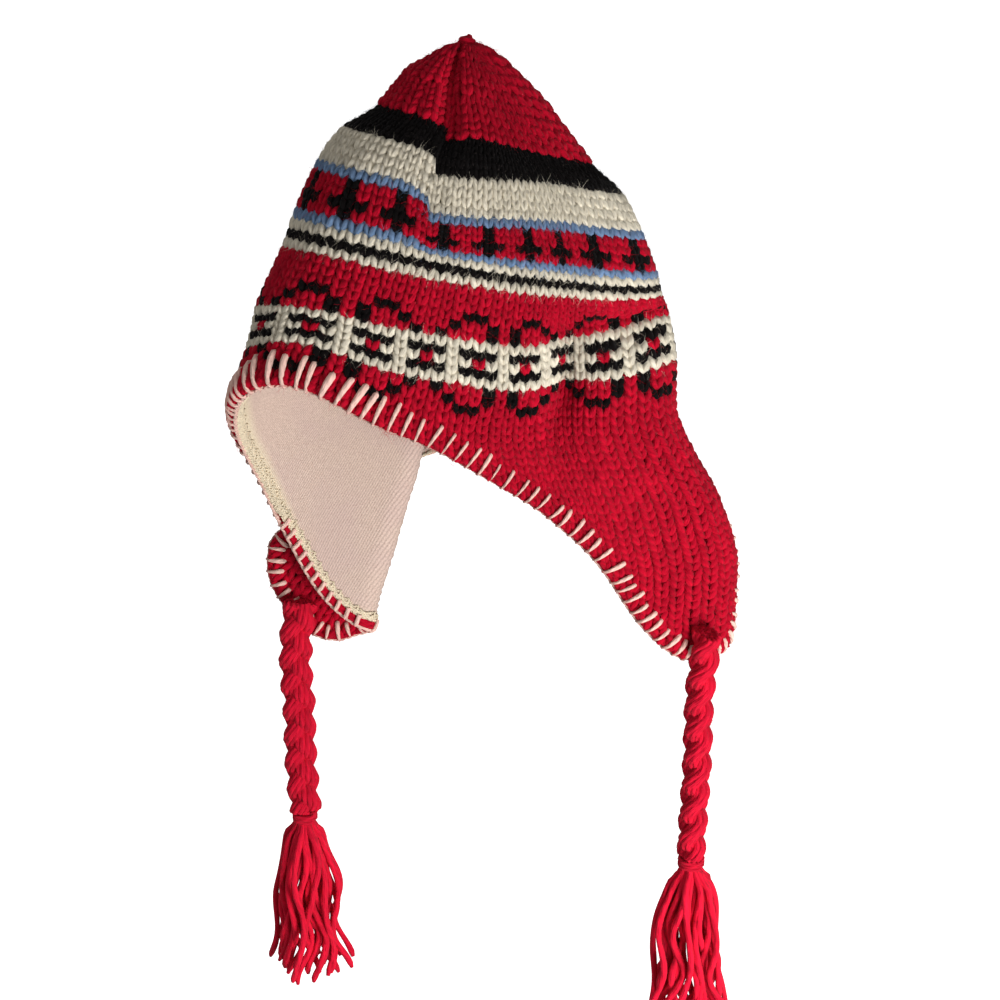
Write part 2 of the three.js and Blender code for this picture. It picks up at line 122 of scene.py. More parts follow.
# The rim: rows down to it, by stitches from the middle of the forehead.
RIM = Table(("away", "row"), (
    (0, 45.6), (4, 46), (8, 47.2), (10, 48.4), (12, 50.4), (14, 52.8), (16, 55.2), (18, 58),
    (20, 61.2), (22, 65.8), (24, 70.6), (26, 74.4), (27.3, 75.9), (28.6, 76.2), (29.8, 75.6), (31, 74),
    (32.1, 71), (32.9, 66.6), (33.5, 61.2), (34.3, 55), (35.4, 50.4), (37.2, 48.6), (40, 48), (42, 48),
))

# Folds and swells: a smooth bump round a stitch and a row, as wide and as long as the next two say.
# Dent is a share of half_depth, lift of crown_drop, push of half_width.
FOLDS = Table(("stitch", "row", "across", "along", "dent", "lift", "push"), (
    (0.5, 8, 1.6, 9, 0.13, 0, 0),
    (14.2, 41, 2.4, 7, 0.29, 0, 0),
    (20.5, 35, 5, 2.6, 0.18, 0.02, 0),
    (-6.5, 50, 4.5, 13, 0, 0.106, 0),
    (24, 38, 4, 7, 0, 0.048, 0),
    (9, 40, 5, 8, 0, -0.027, 0),
    (-28, 66, 10, 15, 0, -0.085, -0.28),
    (-40, 78, 9, 14, 0, -0.03, 0),
))

# The knitter's chart, from the peak down: how many rows, and the yarns of twelve stitches.
CHART = (
    (12, "rrrrrrrrrrrr"),
    (5, "kkkkkkkkkkkk"),
    (4, "wwwwwwwwwwww"),
    (1, "bbbbbbbbbbbb"),
    (2, "rrkrrrkrrrkr"),
    (1, "rkkkrkkkrkkk"),
    (1, "rrkrrrkrrrkr"),
    (1, "bbbbbbbbbbbb"),
    (1, "wwwwwwwwwwww"),
    (1, "kkkkkkkkkkkk"),
    (1, "wwwwwwwwwwww"),
    (3, "rrrrrrrrrrrr"),
    (1, "rrrrrkkrrrkk"),
    (1, "krrrkrrkrkrr"),
    (1, "rkrkrrrkrkrr"),
    (1, "wwwwwwwwwwww"),
    (1, "wkkkwkkkwkkk"),
    (1, "wwrwwwrwwwrw"),
    (1, "wkkkwkkkwkkk"),
    (1, "wwwwwwwwwwww"),
    (1, "rkrkrrrkrkrr"),
    (1, "krrrkrrkrkrr"),
    (1, "rrrrrkkrrrkk"),
)
CHART_YARNS = {"r": Wool.CRIMSON, "k": Wool.BLACK, "w": Wool.CREAM, "b": Wool.BLUE}

# The blanket stitches' bars round the rim, by stitch: their radius and how far they reach into the cloth.
BARS = Table(("stitch", "radius", "reach"), (
    (-56, 1.1, 8), (-24, 1.1, 7.5), (-14, 1.4, 9), (-10, 1.5, 13), (-2, 1.5, 13), (2, 0.9, 12), (9, 0.8, 9),
    (15, 1.15, 8), (24, 1.15, 8), (25.6, 1.15, 12), (26.4, 1.15, 18), (28.2, 1.15, 22), (29.5, 1.1, 8),
))

# Centrelines of the two plaits in the pressed hat's own axes, in millimetres from the peak.
LEFT_PLAIT_ROUTE = (
    (131, -25.6, -306), (130.4, -23, -318), (129.4, -19.6, -332), (128.9, -16.4, -346), (129, -13.6, -362),
    (129.3, -11.8, -378), (129.1, -11, -394), (128.5, -11, -410), (127.9, -11, -426), (127.7, -11, -436),
    (127.7, -11, -442),
)
RIGHT_PLAIT_ROUTE = (
    (-94.6, 43.5, -311), (-96.6, 43.5, -321), (-98.3, 45, -334.5), (-99.2, 47.5, -353), (-98.4, 49.5, -372.5),
    (-98.4, 51, -392), (-98.5, 52, -411), (-97.7, 52, -427), (-97, 52, -438), (-97, 52, -443),
)


@dataclass(frozen=True)
class SmoothLine:
    """A monotone cubic through a table's values, so that it never overshoots them."""

    x: np.ndarray
    y: np.ndarray

    def __call__(self, value: np.ndarray | float) -> np.ndarray:
        """The line's height.

        Args:
            value: One place or many, held to the table's range.

        Returns:
            The height at each.
        """
        x, y = self.x, self.y
        step = np.diff(y) / np.diff(x)
        before, after = step[:-1], step[1:]
        total = np.where(before + after == 0, 1.0, before + after)
        inner = np.where(before * after <= 0, 0.0, 2 * before * after / total)
        slope = np.concatenate([step[:1], inner, step[-1:]])
        held = np.clip(value, x[0], x[-1])
        place = np.clip(np.searchsorted(x, held) - 1, 0, len(x) - 2)
        wide = x[place + 1] - x[place]
        t = (held - x[place]) / wide
        s = 1 - t
        ends = y[place] * (1 + 2 * t) * s * s + y[place + 1] * (3 - 2 * t) * t * t
        return ends + slope[place] * wide * t * s * s - slope[place + 1] * wide * t * t * s


@dataclass(frozen=True)
class HatForm:
    """The driving sizes of the knitted form, in millimetres, degrees, stitches and rows."""

    half_width: float = 110
    half_depth: float = 55
    crown_drop: float = 188
    knit_wall: float = 4
    lining_wall: float = 1.8
    layer_gap: float = 0.3
    press_turn: float = 46
    press_lean: float = 8
    stitches: int = 84
    forehead_stitch: float = -6
    left_end: float = -12.5
    right_end: float = 26.5
    hollow_row: float = 6.5
    rows_to_rim: int = 45
    flap_stitch: float = 8.4
    curl_top: tuple[float, float] = (-38.5, 46)
    curl_low: tuple[float, float] = (-30.5, 74)
    curl_angle: float = 174
    curl_fade: tuple[float, float] = (41, 54)
    curl_lag_from: float = 20
    curl_lag: float = 0.15
    curl_radius: float = 5
    curl_end_stitch: float = 56
    far_flap_wider: float = 3.2
    far_flap_grows: tuple[float, float] = (28, 34)
    far_flap_fades: tuple[float, float] = (34.5, 37.5)
    crease_stitch: float = 0.3
    crease_grows: tuple[float, float] = (4, 11)
    crease_fades: tuple[float, float] = (22, 29)
    crease_drop: float = 1.8
    crease_rise: float = 0.9
    crease_reach: float = 3
    crease_spread: float = 6
    crease_spreads: tuple[float, float] = (12, 17)
    crease_fold: float = 1.5
    crease_left_ends: tuple[float, float] = (14, 26)

    @property
    def row_length(self) -> float:
        """Millimetres down the knitting for one row."""
        return self.crown_drop / self.rows_to_rim


class KnitSurface:
    """The knitting's outer face as a lattice over stitches and rows, in metres in the hat's frame."""

    STITCH_STEP = 0.25
    ROW_STEP = 0.5
    LAST_ROW = 80.0
    OUTLINE_STEPS = 240
    ZERO = 1e-12
    LEAST_ANGLE = 1e-6
    PROBE_STITCHES = 2
    PROBE_ROWS = 1.5
    PROBE_SHARE = 0.05

    def __init__(self, form: HatForm) -> None:
        """Works out the open cloth, then its curled flap, then the directions out of it.

        Args:
            form: The driving sizes.
        """
        self.form = form
        self.line = {name: SmoothLine(SECTIONS["row"], SECTIONS[name]) for name in SECTIONS.names[1:]}
        self.rim_line = SmoothLine(RIM["away"], RIM["row"])
        self.near_share = SmoothLine(NEAR_STITCHES["stitch"], NEAR_STITCHES["share"])
        self.far_share = SmoothLine(FAR_STITCHES["beyond"], FAR_STITCHES["share"])
        first = -form.curl_end_stitch
        self.stitch = np.arange(first, first + form.stitches + 0.01, self.STITCH_STEP)
        self.row = np.arange(0, self.LAST_ROW + 0.01, self.ROW_STEP)
        self.open = self._open_lattice()
        self.seat = np.array([
            form.half_width * float(self.line["shift"](form.hollow_row)),
            0.0,
            -form.crown_drop * float(self.line["drop"](form.hollow_row))
            - form.knit_wall - form.layer_gap - form.lining_wall,
        ])
        self.face = self.to_hat(self._curled())
        self.normal = self._normals()

    def wrap(self, stitch: np.ndarray) -> np.ndarray:
        """Stitches counted within one round that starts where the curl has ended."""
        return np.mod(stitch + self.form.curl_end_stitch, self.form.stitches) - self.form.curl_end_stitch

    def rim_row(self, stitch: np.ndarray | float) -> np.ndarray:
        """The row of the rim, on a far flap that is wider at its rear.

        Args:
            stitch: Stitches round the hat.

        Returns:
            The rim's row under each.
        """
        form = self.form
        half = form.stitches / 2
        aside = np.mod(stitch - form.forehead_stitch + half, form.stitches) - half
        away = np.abs(aside)
        wider = ease(away, *form.far_flap_grows) - ease(away, *form.far_flap_fades)
        return self.rim_line(away - np.where(aside < 0, form.far_flap_wider * wider, 0))

    def to_hat(self, points: np.ndarray) -> np.ndarray:
        """Turns points from the pressed hat's axes to the hat's frame.

        Args:
            points: Millimetres from the peak.

        Returns:
            Metres from the seat.
        """
        angle = math.radians(self.form.press_turn)
        x, y, z = np.moveaxis(points - self.seat, -1, 0)
        turned = [x * math.cos(angle) - y * math.sin(angle), x * math.sin(angle) + y * math.cos(angle), z]
        return np.stack(turned, axis=-1) * MM

    def _section(self, row: float) -> np.ndarray:
        """One row of the open cloth.

        Args:
            row: The row, counted from the peak.

        Returns:
            A point for each stitch of the lattice, in the pressed hat's axes.
        """
        form = self.form
        size = {name: float(line(row)) for name, line in self.line.items()}
        angle = np.linspace(0, 2 * math.pi, self.OUTLINE_STEPS + 1)
        s, c = np.sin(angle), np.cos(angle)
        s[np.abs(s) < self.ZERO] = 0
        c[np.abs(c) < self.ZERO] = 0
        power = 2 / size["square"]
        width = form.half_width * np.where(s > 0, size["right"], size["left"])
        depth = form.half_depth * np.where(c > 0, size["near"], size["far"])
        across = np.sign(s) * np.abs(s) ** power * width
        back = -np.sign(c) * np.abs(c) ** power * depth
        run = np.concatenate([[0], np.cumsum(np.hypot(np.diff(across), np.diff(back)))])
        quarter = self.OUTLINE_STEPS // 4
        right_run, left_run, whole = run[quarter], run[3 * quarter], run[-1]
        past = np.mod(self.stitch - form.left_end, form.stitches)
        near_arc, far_arc = whole - left_run + right_run, left_run - right_run
        near = np.mod(left_run + self.near_share(past + form.left_end) * near_arc, whole)
        far = left_run - self.far_share(form.stitches - past) * far_arc
        length = np.where(past <= form.right_end - form.left_end, near, far)
        at_x, at_y = np.interp(length, run, across), np.interp(length, run, back)
        turn = math.radians(form.press_lean * size["turn"])
        turned = at_x * math.cos(turn) - at_y * math.sin(turn)
        return np.stack([
            turned + form.half_width * size["shift"],
            at_x * math.sin(turn) + at_y * math.cos(turn),
            -form.crown_drop * size["drop"] - size["tilt"] * turned,
        ], axis=-1)

    def _open_lattice(self) -> np.ndarray:
        """The cloth before the far flap curls, with its folds.

        Returns:
            Points by stitch and row, in the pressed hat's axes.
        """
        form = self.form
        grid = np.stack([self._section(row) for row in self.row], axis=1)
        half = form.stitches / 2
        for fold in FOLDS.rows:
            size = dict(zip(FOLDS.names, fold))
            aside = np.mod(self.stitch - size["stitch"] + half, form.stitches) - half
            across = (aside / size["across"])[:, None] ** 2
            along = ((self.row - size["row"]) / size["along"])[None, :] ** 2
            swell = np.exp(-across - along)
            grid[..., 0] += swell * size["push"] * form.half_width
            grid[..., 1] += swell * size["dent"] * form.half_depth
            grid[..., 2] += swell * size["lift"] * form.crown_drop
        return grid

    def _sample(self, grid: np.ndarray, stitch: np.ndarray, row: np.ndarray) -> np.ndarray:
        """A lattice's values between its corners.

        Args:
            grid: Values by stitch and row.
            stitch: Stitches round the hat.
            row: Rows down from the peak.

        Returns:
            A value for each place.
        """
        across = (self.wrap(np.asarray(stitch, dtype=float)) - self.stitch[0]) / self.STITCH_STEP
        down = np.clip(row, 0, self.LAST_ROW) / self.ROW_STEP
        i = np.clip(across.astype(int), 0, grid.shape[0] - 2)
        j = np.clip(down.astype(int), 0, grid.shape[1] - 2)
        u = (across - i)[..., None]
        v = (down - j)[..., None]
        upper = grid[i, j] * (1 - u) + grid[i + 1, j] * u
        lower = grid[i, j + 1] * (1 - u) + grid[i + 1, j + 1] * u
        return upper * (1 - v) + lower * v

    def _curled(self) -> np.ndarray:
        """The cloth once the far ear flap has curled outwards about its slanted line.

        Returns:
            Points by stitch and row, in the pressed hat's axes.
        """
        form = self.form
        stitch, row = np.meshgrid(self.stitch, self.row, indexing="ij")
        top, low = np.array(form.curl_top), np.array(form.curl_low)
        line = np.array([(top[0] - low[0]) * form.flap_stitch, (low[1] - top[1]) * form.row_length])
        line_length = float(np.hypot(*line))
        line /= line_length
        spot_x = (top[0] - stitch) * form.flap_stitch
        spot_y = (row - top[1]) * form.row_length
        beyond = spot_x * line[1] - spot_y * line[0]
        along = (spot_x * line[0] + spot_y * line[1]) / line_length
        fold_stitch = top[0] + (low[0] - top[0]) * along
        fold_row = np.clip(top[1] + (low[1] - top[1]) * along, 1, self.LAST_ROW - 2)
        lag = np.maximum(beyond - form.curl_lag_from, 0) * form.curl_lag
        angle = math.radians(form.curl_angle) * ease(fold_row - lag, *form.curl_fade)
        angle = np.maximum(angle, self.LEAST_ANGLE)

        def opened(stitches: np.ndarray, rows: np.ndarray) -> np.ndarray:
            """Points of the open cloth."""
            return self._sample(self.open, stitches, rows)

        on_line = opened(fold_stitch, fold_row)
        wide, tall = self.PROBE_STITCHES, self.PROBE_ROWS
        stitch_way = opened(fold_stitch - wide, fold_row) - opened(fold_stitch + wide, fold_row)
        down_way = opened(fold_stitch, fold_row + tall) - opened(fold_stitch, fold_row - tall)
        out_way = unit(np.cross(stitch_way, down_way))
        ahead = (low - top) * self.PROBE_SHARE
        fold_way = unit(opened(fold_stitch + ahead[0], fold_row + ahead[1]) - on_line)
        across_way = unit(np.cross(fold_way, out_way))
        bent = np.minimum(beyond / form.curl_radius, angle)
        rest = np.maximum(beyond - form.curl_radius * angle, 0)
        across_move = form.curl_radius * np.sin(bent) + rest * np.cos(angle) - beyond
        out_move = form.curl_radius * (1 - np.cos(bent)) + rest * np.sin(angle)
        moved = self.open + across_way * across_move[..., None] + out_way * out_move[..., None]
        curls = (beyond > 0) & (stitch <= low[0] + 2)
        return np.where(curls[..., None], moved, self.open)

    def _normals(self) -> np.ndarray:
        """Directions out of the cloth.

        Returns:
            A unit vector at each of the lattice's corners.
        """
        stitch, row = np.meshgrid(self.stitch, np.clip(self.row, 0.4, self.LAST_ROW - 1), indexing="ij")
        side = self._sample(self.face, stitch + 0.5, row) - self._sample(self.face, stitch - 0.5, row)
        down = self._sample(self.face, stitch, row + 0.5) - self._sample(self.face, stitch, row - 0.5)
        return unit(np.cross(down, side))

    def spot(self, stitch: np.ndarray, row: np.ndarray, lift: np.ndarray | float = 0.0) -> np.ndarray:
        """Points that stand some millimetres proud of the knitting's outer face.

        Args:
            stitch: Stitches round the hat.
            row: Rows down from the peak.
            lift: Millimetres out of the face, negative inside.

        Returns:
            The points in metres.
        """
        stitch, row, lift = np.broadcast_arrays(stitch, row, lift)
        normal = unit(self._sample(self.normal, stitch, row))
        return self._sample(self.face, stitch, row) + normal * (lift * MM)[..., None]

    def knit(self, stitch: np.ndarray, row: np.ndarray, lift: np.ndarray | float = 0.0) -> np.ndarray:
        """The same for knitted rows, which the crown's crease drags down on its right and up on its left.

        Args:
            stitch: Stitches round the hat.
            row: Knitted rows down from the peak.
            lift: Millimetres out of the face, negative inside.

        Returns:
            The points in metres.
        """
        form = self.form
        aside = self.wrap(np.asarray(stitch, dtype=float)) - form.crease_stitch
        shown = ease(row, *form.crease_grows) - ease(row, *form.crease_fades)
        reach = form.crease_reach + form.crease_spread * ease(row, *form.crease_spreads)
        right = form.crease_drop * np.exp(-((aside / reach) ** 2))
        risen = (1 - np.exp(-((aside / form.crease_fold) ** 2))) * (1 - ease(-aside, *form.crease_left_ends))
        left = -form.crease_rise * risen
        return self.spot(stitch, row + shown * np.where(aside > 0, right, left), lift)

    def out(self, stitch: np.ndarray, row: np.ndarray) -> np.ndarray:
        """Directions out of the cloth."""
        stitch, row = np.broadcast_arrays(stitch, row)
        return unit(self._sample(self.normal, stitch, row))


def ease(value: np.ndarray, low: float, high: float) -> np.ndarray:
    """A smooth step from 0 at low to 1 at high."""
    share = np.clip((value - low) / (high - low), 0, 1)
    return share * share * (3 - 2 * share)


def unit(vectors: np.ndarray) -> np.ndarray:
    """Vectors of length one."""
    length = np.linalg.norm(vectors, axis=-1, keepdims=True)
    return vectors / np.maximum(length, 1e-12)


def math_method(operation: str, turned: bool = False) -> Callable[..., "Joined"]:
    """A method of Joined that adds one Math node.

    Args:
        operation: The node's operation.
        turned: Whether the socket comes last, as in a reflected form.

    Returns:
        The method.
    """
    def method(self: "Joined", *others: Any) -> "Joined":
        """One Math node on this socket and the others."""
        values = (*others, self) if turned else (self, *others)
        return self.book.add("ShaderNodeMath", {"operation": operation}, dict(enumerate(values)))

    return method


class Joined:
    """A shader or geometry socket whose operators add Math nodes."""

    def __init__(self, book: "NodeBook", socket: bpy.types.NodeSocket) -> None:
        """Keeps the socket and the tree that it belongs to."""
        self.book = book
        self.socket = socket

    __add__ = __radd__ = math_method("ADD")
    __sub__ = math_method("SUBTRACT")
    __rsub__ = math_method("SUBTRACT", turned=True)
    __mul__ = __rmul__ = math_method("MULTIPLY")
    __truediv__ = math_method("DIVIDE")
    sine = math_method("SINE")
    size = math_method("ABSOLUTE")
    fraction = math_method("FRACT")
    angle_to = math_method("ARCTAN2")

    def ramp(self, low: float, high: float) -> "Joined":
        """A value that rises from 0 at low to 1 at high."""
        ends = {"Value": self, "From Min": low, "From Max": high}
        return self.book.add("ShaderNodeMapRange", {"interpolation_type": "SMOOTHSTEP"}, ends)


class NodeBook:
    """Adds nodes to one tree."""

    def __init__(self, tree: bpy.types.NodeTree) -> None:
        """Keeps the tree."""
        self.tree = tree

    def add(
        self, kind: str, settings: dict | None = None, inputs: dict | None = None, out: Any = 0,
    ) -> Joined:
        """Adds a node.

        Args:
            kind: The node's type.
            settings: What is set on the node first.
            inputs: Values or joined sockets, by the names or places of the node's inputs.
            out: The name or place of the output wanted.

        Returns:
            The output, ready for sums.
        """
        node = self.tree.nodes.new(kind)
        for name, value in (settings or {}).items():
            setattr(node, name, value)
        for key, value in (inputs or {}).items():
            socket = node.inputs[key]
            if isinstance(value, Joined):
                self.tree.links.new(value.socket, socket)
            else:
                socket.default_value = value
        return Joined(self, node.outputs[out] if len(node.outputs) else node.inputs[0])

    def mix(self, factor: Any, first: Any, second: Any, blend: str = "MIX") -> Joined:
        """Mixes two colours."""
        settings = {"data_type": "RGBA", "blend_type": blend}
        return self.add("ShaderNodeMix", settings, {0: factor, 6: first, 7: second}, 2)

    def parts(self, vector: Joined) -> tuple[Joined, Joined, Joined]:
        """The three numbers of a vector."""
        node = self.add("ShaderNodeSeparateXYZ", None, {0: vector}).socket.node
        return tuple(Joined(self, socket) for socket in node.outputs)

    def grey(self, value: Joined) -> Joined:
        """A value as a grey colour."""
        return self.add("ShaderNodeCombineXYZ", None, {0: value, 1: value, 2: value})

    def place(self) -> Joined:
        """Where a point lies on its piece."""
        return self.add("ShaderNodeTexCoord", None, None, "Object")

    def attribute(self, name: str, out: str) -> Joined:
        """A named attribute of the piece."""
        return self.add("ShaderNodeAttribute", {"attribute_name": name}, None, out)

    def noise(self, place: Joined, scale: float, detail: float) -> Joined:
        """A clouded value over a place."""
        return self.add("ShaderNodeTexNoise", None, {"Vector": place, "Scale": scale, "Detail": detail}, 0)

    def bump(self, strength: float, distance: float, height: Joined) -> Joined:
        """A normal that follows a height in metres."""
        inputs = {"Strength": strength, "Distance": distance, "Height": height}
        return self.add("ShaderNodeBump", None, inputs)

    def surface(self, inputs: dict[str, Any]) -> None:
        """Ends a material with one Principled shader."""
        shader = self.add("ShaderNodeBsdfPrincipled", None, inputs)
        self.add("ShaderNodeOutputMaterial", None, {"Surface": shader})

    def end_tree(self, geometry: Joined, material: Joined) -> None:
        """Ends a geometry tree with real instances in one material.

        Args:
            geometry: What the tree made.
            material: Its finish.
        """
        real = self.add("GeometryNodeRealizeInstances", None, {"Geometry": geometry})
        dressed = self.add("GeometryNodeSetMaterial", None, {"Geometry": real, "Material": material})
        self.add("NodeGroupOutput", None, {"Geometry": dressed})


@dataclass(frozen=True)
class Finish:
    """What the finishes share: a name, and a material that dress() fills with nodes."""

    name: str

    def build(self) -> bpy.types.Material:
        """Makes the material.

        Returns:
            The material with its nodes.
        """
        material = bpy.data.materials.new(self.name)
        material.use_nodes = True
        material.node_tree.nodes.clear()
        self.dress(NodeBook(material.node_tree))
        return material

    def dress(self, book: NodeBook) -> None:
        """Adds the finish's own nodes."""
        raise NotImplementedError


@dataclass(frozen=True)
class YarnFinish(Finish):
    """Spun wool that takes its dye from the piece's tint, with plies, fibres, a soft sheen and painted shade
    along the plies.
    """

    roughness: float = 0.95
    sheen: float = 0.02
    gloss: float = 0.03
    mottle: float = 0.4
    mottle_scale: float = 90.0
    plies: float = 2.0
    ply_length: float = 0.007
    ply_depth: float = 0.0004
    # Painted shade and light: the dye is darker in the plies' grooves and lighter on their crests, by this
    # share.
    painted_ply_shade: float = 0.06
    fibre_count: float = 3.2
    fibre_length: float = 0.004
    fibre_drift: float = 60.0
    fibre_shade: float = 2.4

    def dress(self, book: NodeBook) -> None:
        """Adds the dye, the plies along the yarn with painted shade in their grooves, and the fibres.

        Args:
            book: The material's nodes.
        """
        place = book.place()
        tint = book.attribute("tint", "Color")
        along = book.attribute("along", "Fac")
        spin_x, spin_y, _ = book.parts(book.attribute("spin", "Vector"))
        at_x, at_y, at_z = book.parts(place)
        angle = spin_y.angle_to(spin_x)
        ply = (angle * self.plies + along * (2 * math.pi / self.ply_length)).sine()
        broad = book.noise(place, self.mottle_scale, 3.0)
        strands = book.add("ShaderNodeCombineXYZ", None, {
            0: spin_x * self.fibre_count + at_x * self.fibre_drift,
            1: spin_y * self.fibre_count + at_y * self.fibre_drift,
            2: along * (1.0 / self.fibre_length) + at_z * self.fibre_drift,
        })
        fibres = book.noise(strands, 1.0, 5.0)
        mottled = (broad - 0.5) * self.mottle + (fibres - 0.5) * self.mottle * self.fibre_shade
        # The mottle and the fibres vary the dye at random; the plies add painted shade.
        shade = 1.0 + mottled + ply * self.painted_ply_shade
        book.surface({
            "Base Color": book.mix(1.0, tint, book.grey(shade), "MULTIPLY"),
            "Roughness": self.roughness,
            "Sheen Weight": self.sheen,
            "Sheen Roughness": 0.5,
            "Specular IOR Level": self.gloss,
            "Normal": book.bump(0.8, self.ply_depth, ply * 0.6 + fibres * 2.4),
        })


@dataclass(frozen=True)
class GroundFinish(Finish):
    """The knitting's ground between the stitches, in the same dyes darkened as painted shade where the
    stitches shade it.
    """

    # Painted shade: the share of the dye that the ground keeps, as if in the stitches' shade.
    shade: float = 0.5
    roughness: float = 0.95
    gloss: float = 0.03
    grain: float = 900.0
    depth: float = 0.0008

    def dress(self, book: NodeBook) -> None:
        """Adds the dye, darkened as painted shade, and its grain.

        Args:
            book: The material's nodes.
        """
        fine = book.noise(book.place(), self.grain, 5.0)
        tint = book.attribute("tint", "Color")
        book.surface({
            "Base Color": book.mix(1.0, tint, book.grey(self.shade * (0.6 + fine * 0.8)), "MULTIPLY"),
            "Roughness": self.roughness,
            "Specular IOR Level": self.gloss,
            "Normal": book.bump(0.8, self.depth, fine),
        })


@dataclass(frozen=True)
class DownFinish(Finish):
    """Loose fibres in the dye of the wool under them, with pale ones among them."""

    fleck: float = 700.0
    pale: tuple[float, ...] = (0.55, 0.45, 0.42, 1)
    pale_share: float = 0.12

    def dress(self, book: NodeBook) -> None:
        """Adds the dye and the pale flecks.

        Args:
            book: The material's nodes.
        """
        fleck = book.noise(book.place(), self.fleck, 1.0).ramp(0.6, 0.72)
        colour = book.mix(fleck * self.pale_share, book.attribute("tint", "Color"), self.pale)
        book.surface({"Base Color": colour, "Roughness": 1.0, "Specular IOR Level": 0.02})


@dataclass(frozen=True)
class JerseyFinish(Finish):
    """Fine heathered jersey whose ribs follow the lining, with painted shade in the grooves between its ribs
    and a creamier edge along the rim.
    """

    rib: float = 0.0017
    course: float = 0.0012
    slant: float = -0.8
    heather: float = 1300.0
    cloud: float = 30.0
    edge: tuple[float, float] = (0.007, 0.018)
    beiges: tuple[tuple[float, ...], ...] = ((0.56, 0.41, 0.34, 1), (0.74, 0.57, 0.48, 1))
    creams: tuple[tuple[float, ...], ...] = ((0.70, 0.57, 0.40, 1), (0.86, 0.75, 0.56, 1))
    rose: tuple[float, ...] = (0.60, 0.43, 0.40, 1)
    # Painted shade in the grooves between the ribs, and painted light on the ribs.
    painted_groove_shade: float = 0.66
    painted_rib_light: float = 0.28
    depth: float = 0.0004

    def dress(self, book: NodeBook) -> None:
        """Adds the ribs and the courses, as bumps and as painted shade in their grooves, the heather and the
        cream edge.

        Args:
            book: The material's nodes.
        """
        place = book.place()
        across, down, _ = book.parts(book.add("ShaderNodeUVMap", {"uv_map": "cloth"}))
        in_rib = ((across + down * self.slant) / self.rib).fraction()
        leaning = (in_rib - 0.5).size() * 2.0
        in_course = ((down / self.course) + leaning * 0.7).fraction()
        loop = leaning.ramp(1.0, 0.3) * 0.75 + ((in_course - 0.5).size() * 2.0).ramp(0.0, 0.8) * 0.25
        heather = book.noise(place, self.heather, 4.0)
        cloud = book.noise(place, self.cloud, 2.0)
        creamy = 1.0 - book.attribute("to_rim", "Fac").ramp(*self.edge)
        beige = book.mix(heather.ramp(0.3, 0.7), *self.beiges)
        beige = book.mix(cloud.ramp(0.4, 0.65) * 0.35, beige, self.rose)
        cloth = book.mix(creamy, beige, book.mix(heather.ramp(0.3, 0.7), *self.creams))
        # Painted shade: the cloth is darkest in the grooves between ribs and courses, lighter on the ribs.
        shade = book.grey(self.painted_groove_shade + loop * self.painted_rib_light)
        book.surface({
            "Base Color": book.mix(1.0, cloth, shade, "MULTIPLY"),
            "Roughness": 0.95,
            "Sheen Weight": 0.05,
            "Specular IOR Level": 0.05,
            "Normal": book.bump(0.5, self.depth, loop + heather * 0.7),
        })


@dataclass(frozen=True)
class FloorFinish(Finish):
    """Pale paper for the floor and the wall behind."""

    grain: float = 60.0
    tones: tuple[tuple[float, ...], ...] = ((0.94, 0.94, 0.94, 1), (0.97, 0.97, 0.97, 1))

    def dress(self, book: NodeBook) -> None:
        """Adds the paper's grain and its even glow.

        Args:
            book: The material's nodes.
        """
        book.surface({
            "Base Color": book.mix(book.noise(book.place(), self.grain, 2.0), *self.tones),
            "Roughness": 0.9,
            "Emission Color": (1, 1, 1, 1),
            "Emission Strength": 1.0,
        })


class Finishes:
    """The finishes that the pieces share."""

    def __init__(self) -> None:
        """Makes each material once."""
        self.stitches = YarnFinish("knitting_wool", ply_length=0.006).build()
        self.plaited = YarnFinish(
            "plaited_wool", ply_length=0.009, ply_depth=0.0005, fibre_length=0.008,
        ).build()
        self.thread = YarnFinish("edge_wool", ply_length=0.005, mottle=0.25).build()
        self.down = DownFinish("wool_down").build()
        self.ground = GroundFinish("knitting_ground").build()
        self.jersey = JerseyFinish("lining_jersey").build()
        self.paper = FloorFinish("pale_paper").build()


def link(name: str, mesh: bpy.types.Mesh) -> bpy.types.Object:
    """Puts a mesh in the scene.

    Args:
        name: The piece's name.
        mesh: Its mesh, in place.

    Returns:
        The piece, at the origin.
    """
    piece = bpy.data.objects.new(name, mesh)
    bpy.context.scene.collection.objects.link(piece)
    return piece


def give(mesh: bpy.types.Mesh, name: str, kind: str, values: np.ndarray, domain: str = "POINT") -> None:
    """Stores values on a mesh as a named attribute.

    Args:
        mesh: The mesh.
        name: The attribute's name.
        kind: FLOAT or FLOAT_COLOR.
        values: One value or one linear RGB colour for each element.
        domain: POINT, FACE or CORNER.
    """
    layer = mesh.attributes.new(name, kind, domain)
    if kind == "FLOAT":
        layer.data.foreach_set("value", np.asarray(values, dtype=np.float32).ravel())
        return
    colours = np.ones((len(values), 4), dtype=np.float32)
    colours[:, :3] = values
    layer.data.foreach_set("color", colours.ravel())


def bake_nodes(piece: bpy.types.Object, tree: bpy.types.NodeTree, inputs: dict[str, Any]) -> bpy.types.Object:
    """Runs a geometry tree on a piece and keeps the plain mesh that comes out.

    Args:
        piece: The piece, whose mesh the tree reads.
        tree: The tree.
        inputs: Values by the names of the tree's inputs.

    Returns:
        The same piece with its new mesh and no modifier.
    """
    modifier = piece.modifiers.new("nodes", "NODES")
    modifier.node_group = tree
    for item in tree.interface.items_tree:
        if item.item_type == "SOCKET" and item.in_out == "INPUT" and item.name in inputs:
            modifier[item.identifier] = inputs[item.name]
    bpy.context.view_layer.update()
    graph = bpy.context.evaluated_depsgraph_get()
    result = piece.evaluated_get(graph)
    mesh = bpy.data.meshes.new_from_object(result, preserve_all_data_layers=True, depsgraph=graph)
    old = piece.data
    piece.modifiers.remove(modifier)
    piece.data = mesh
    bpy.data.meshes.remove(old)
    mesh.name = piece.name
    return piece


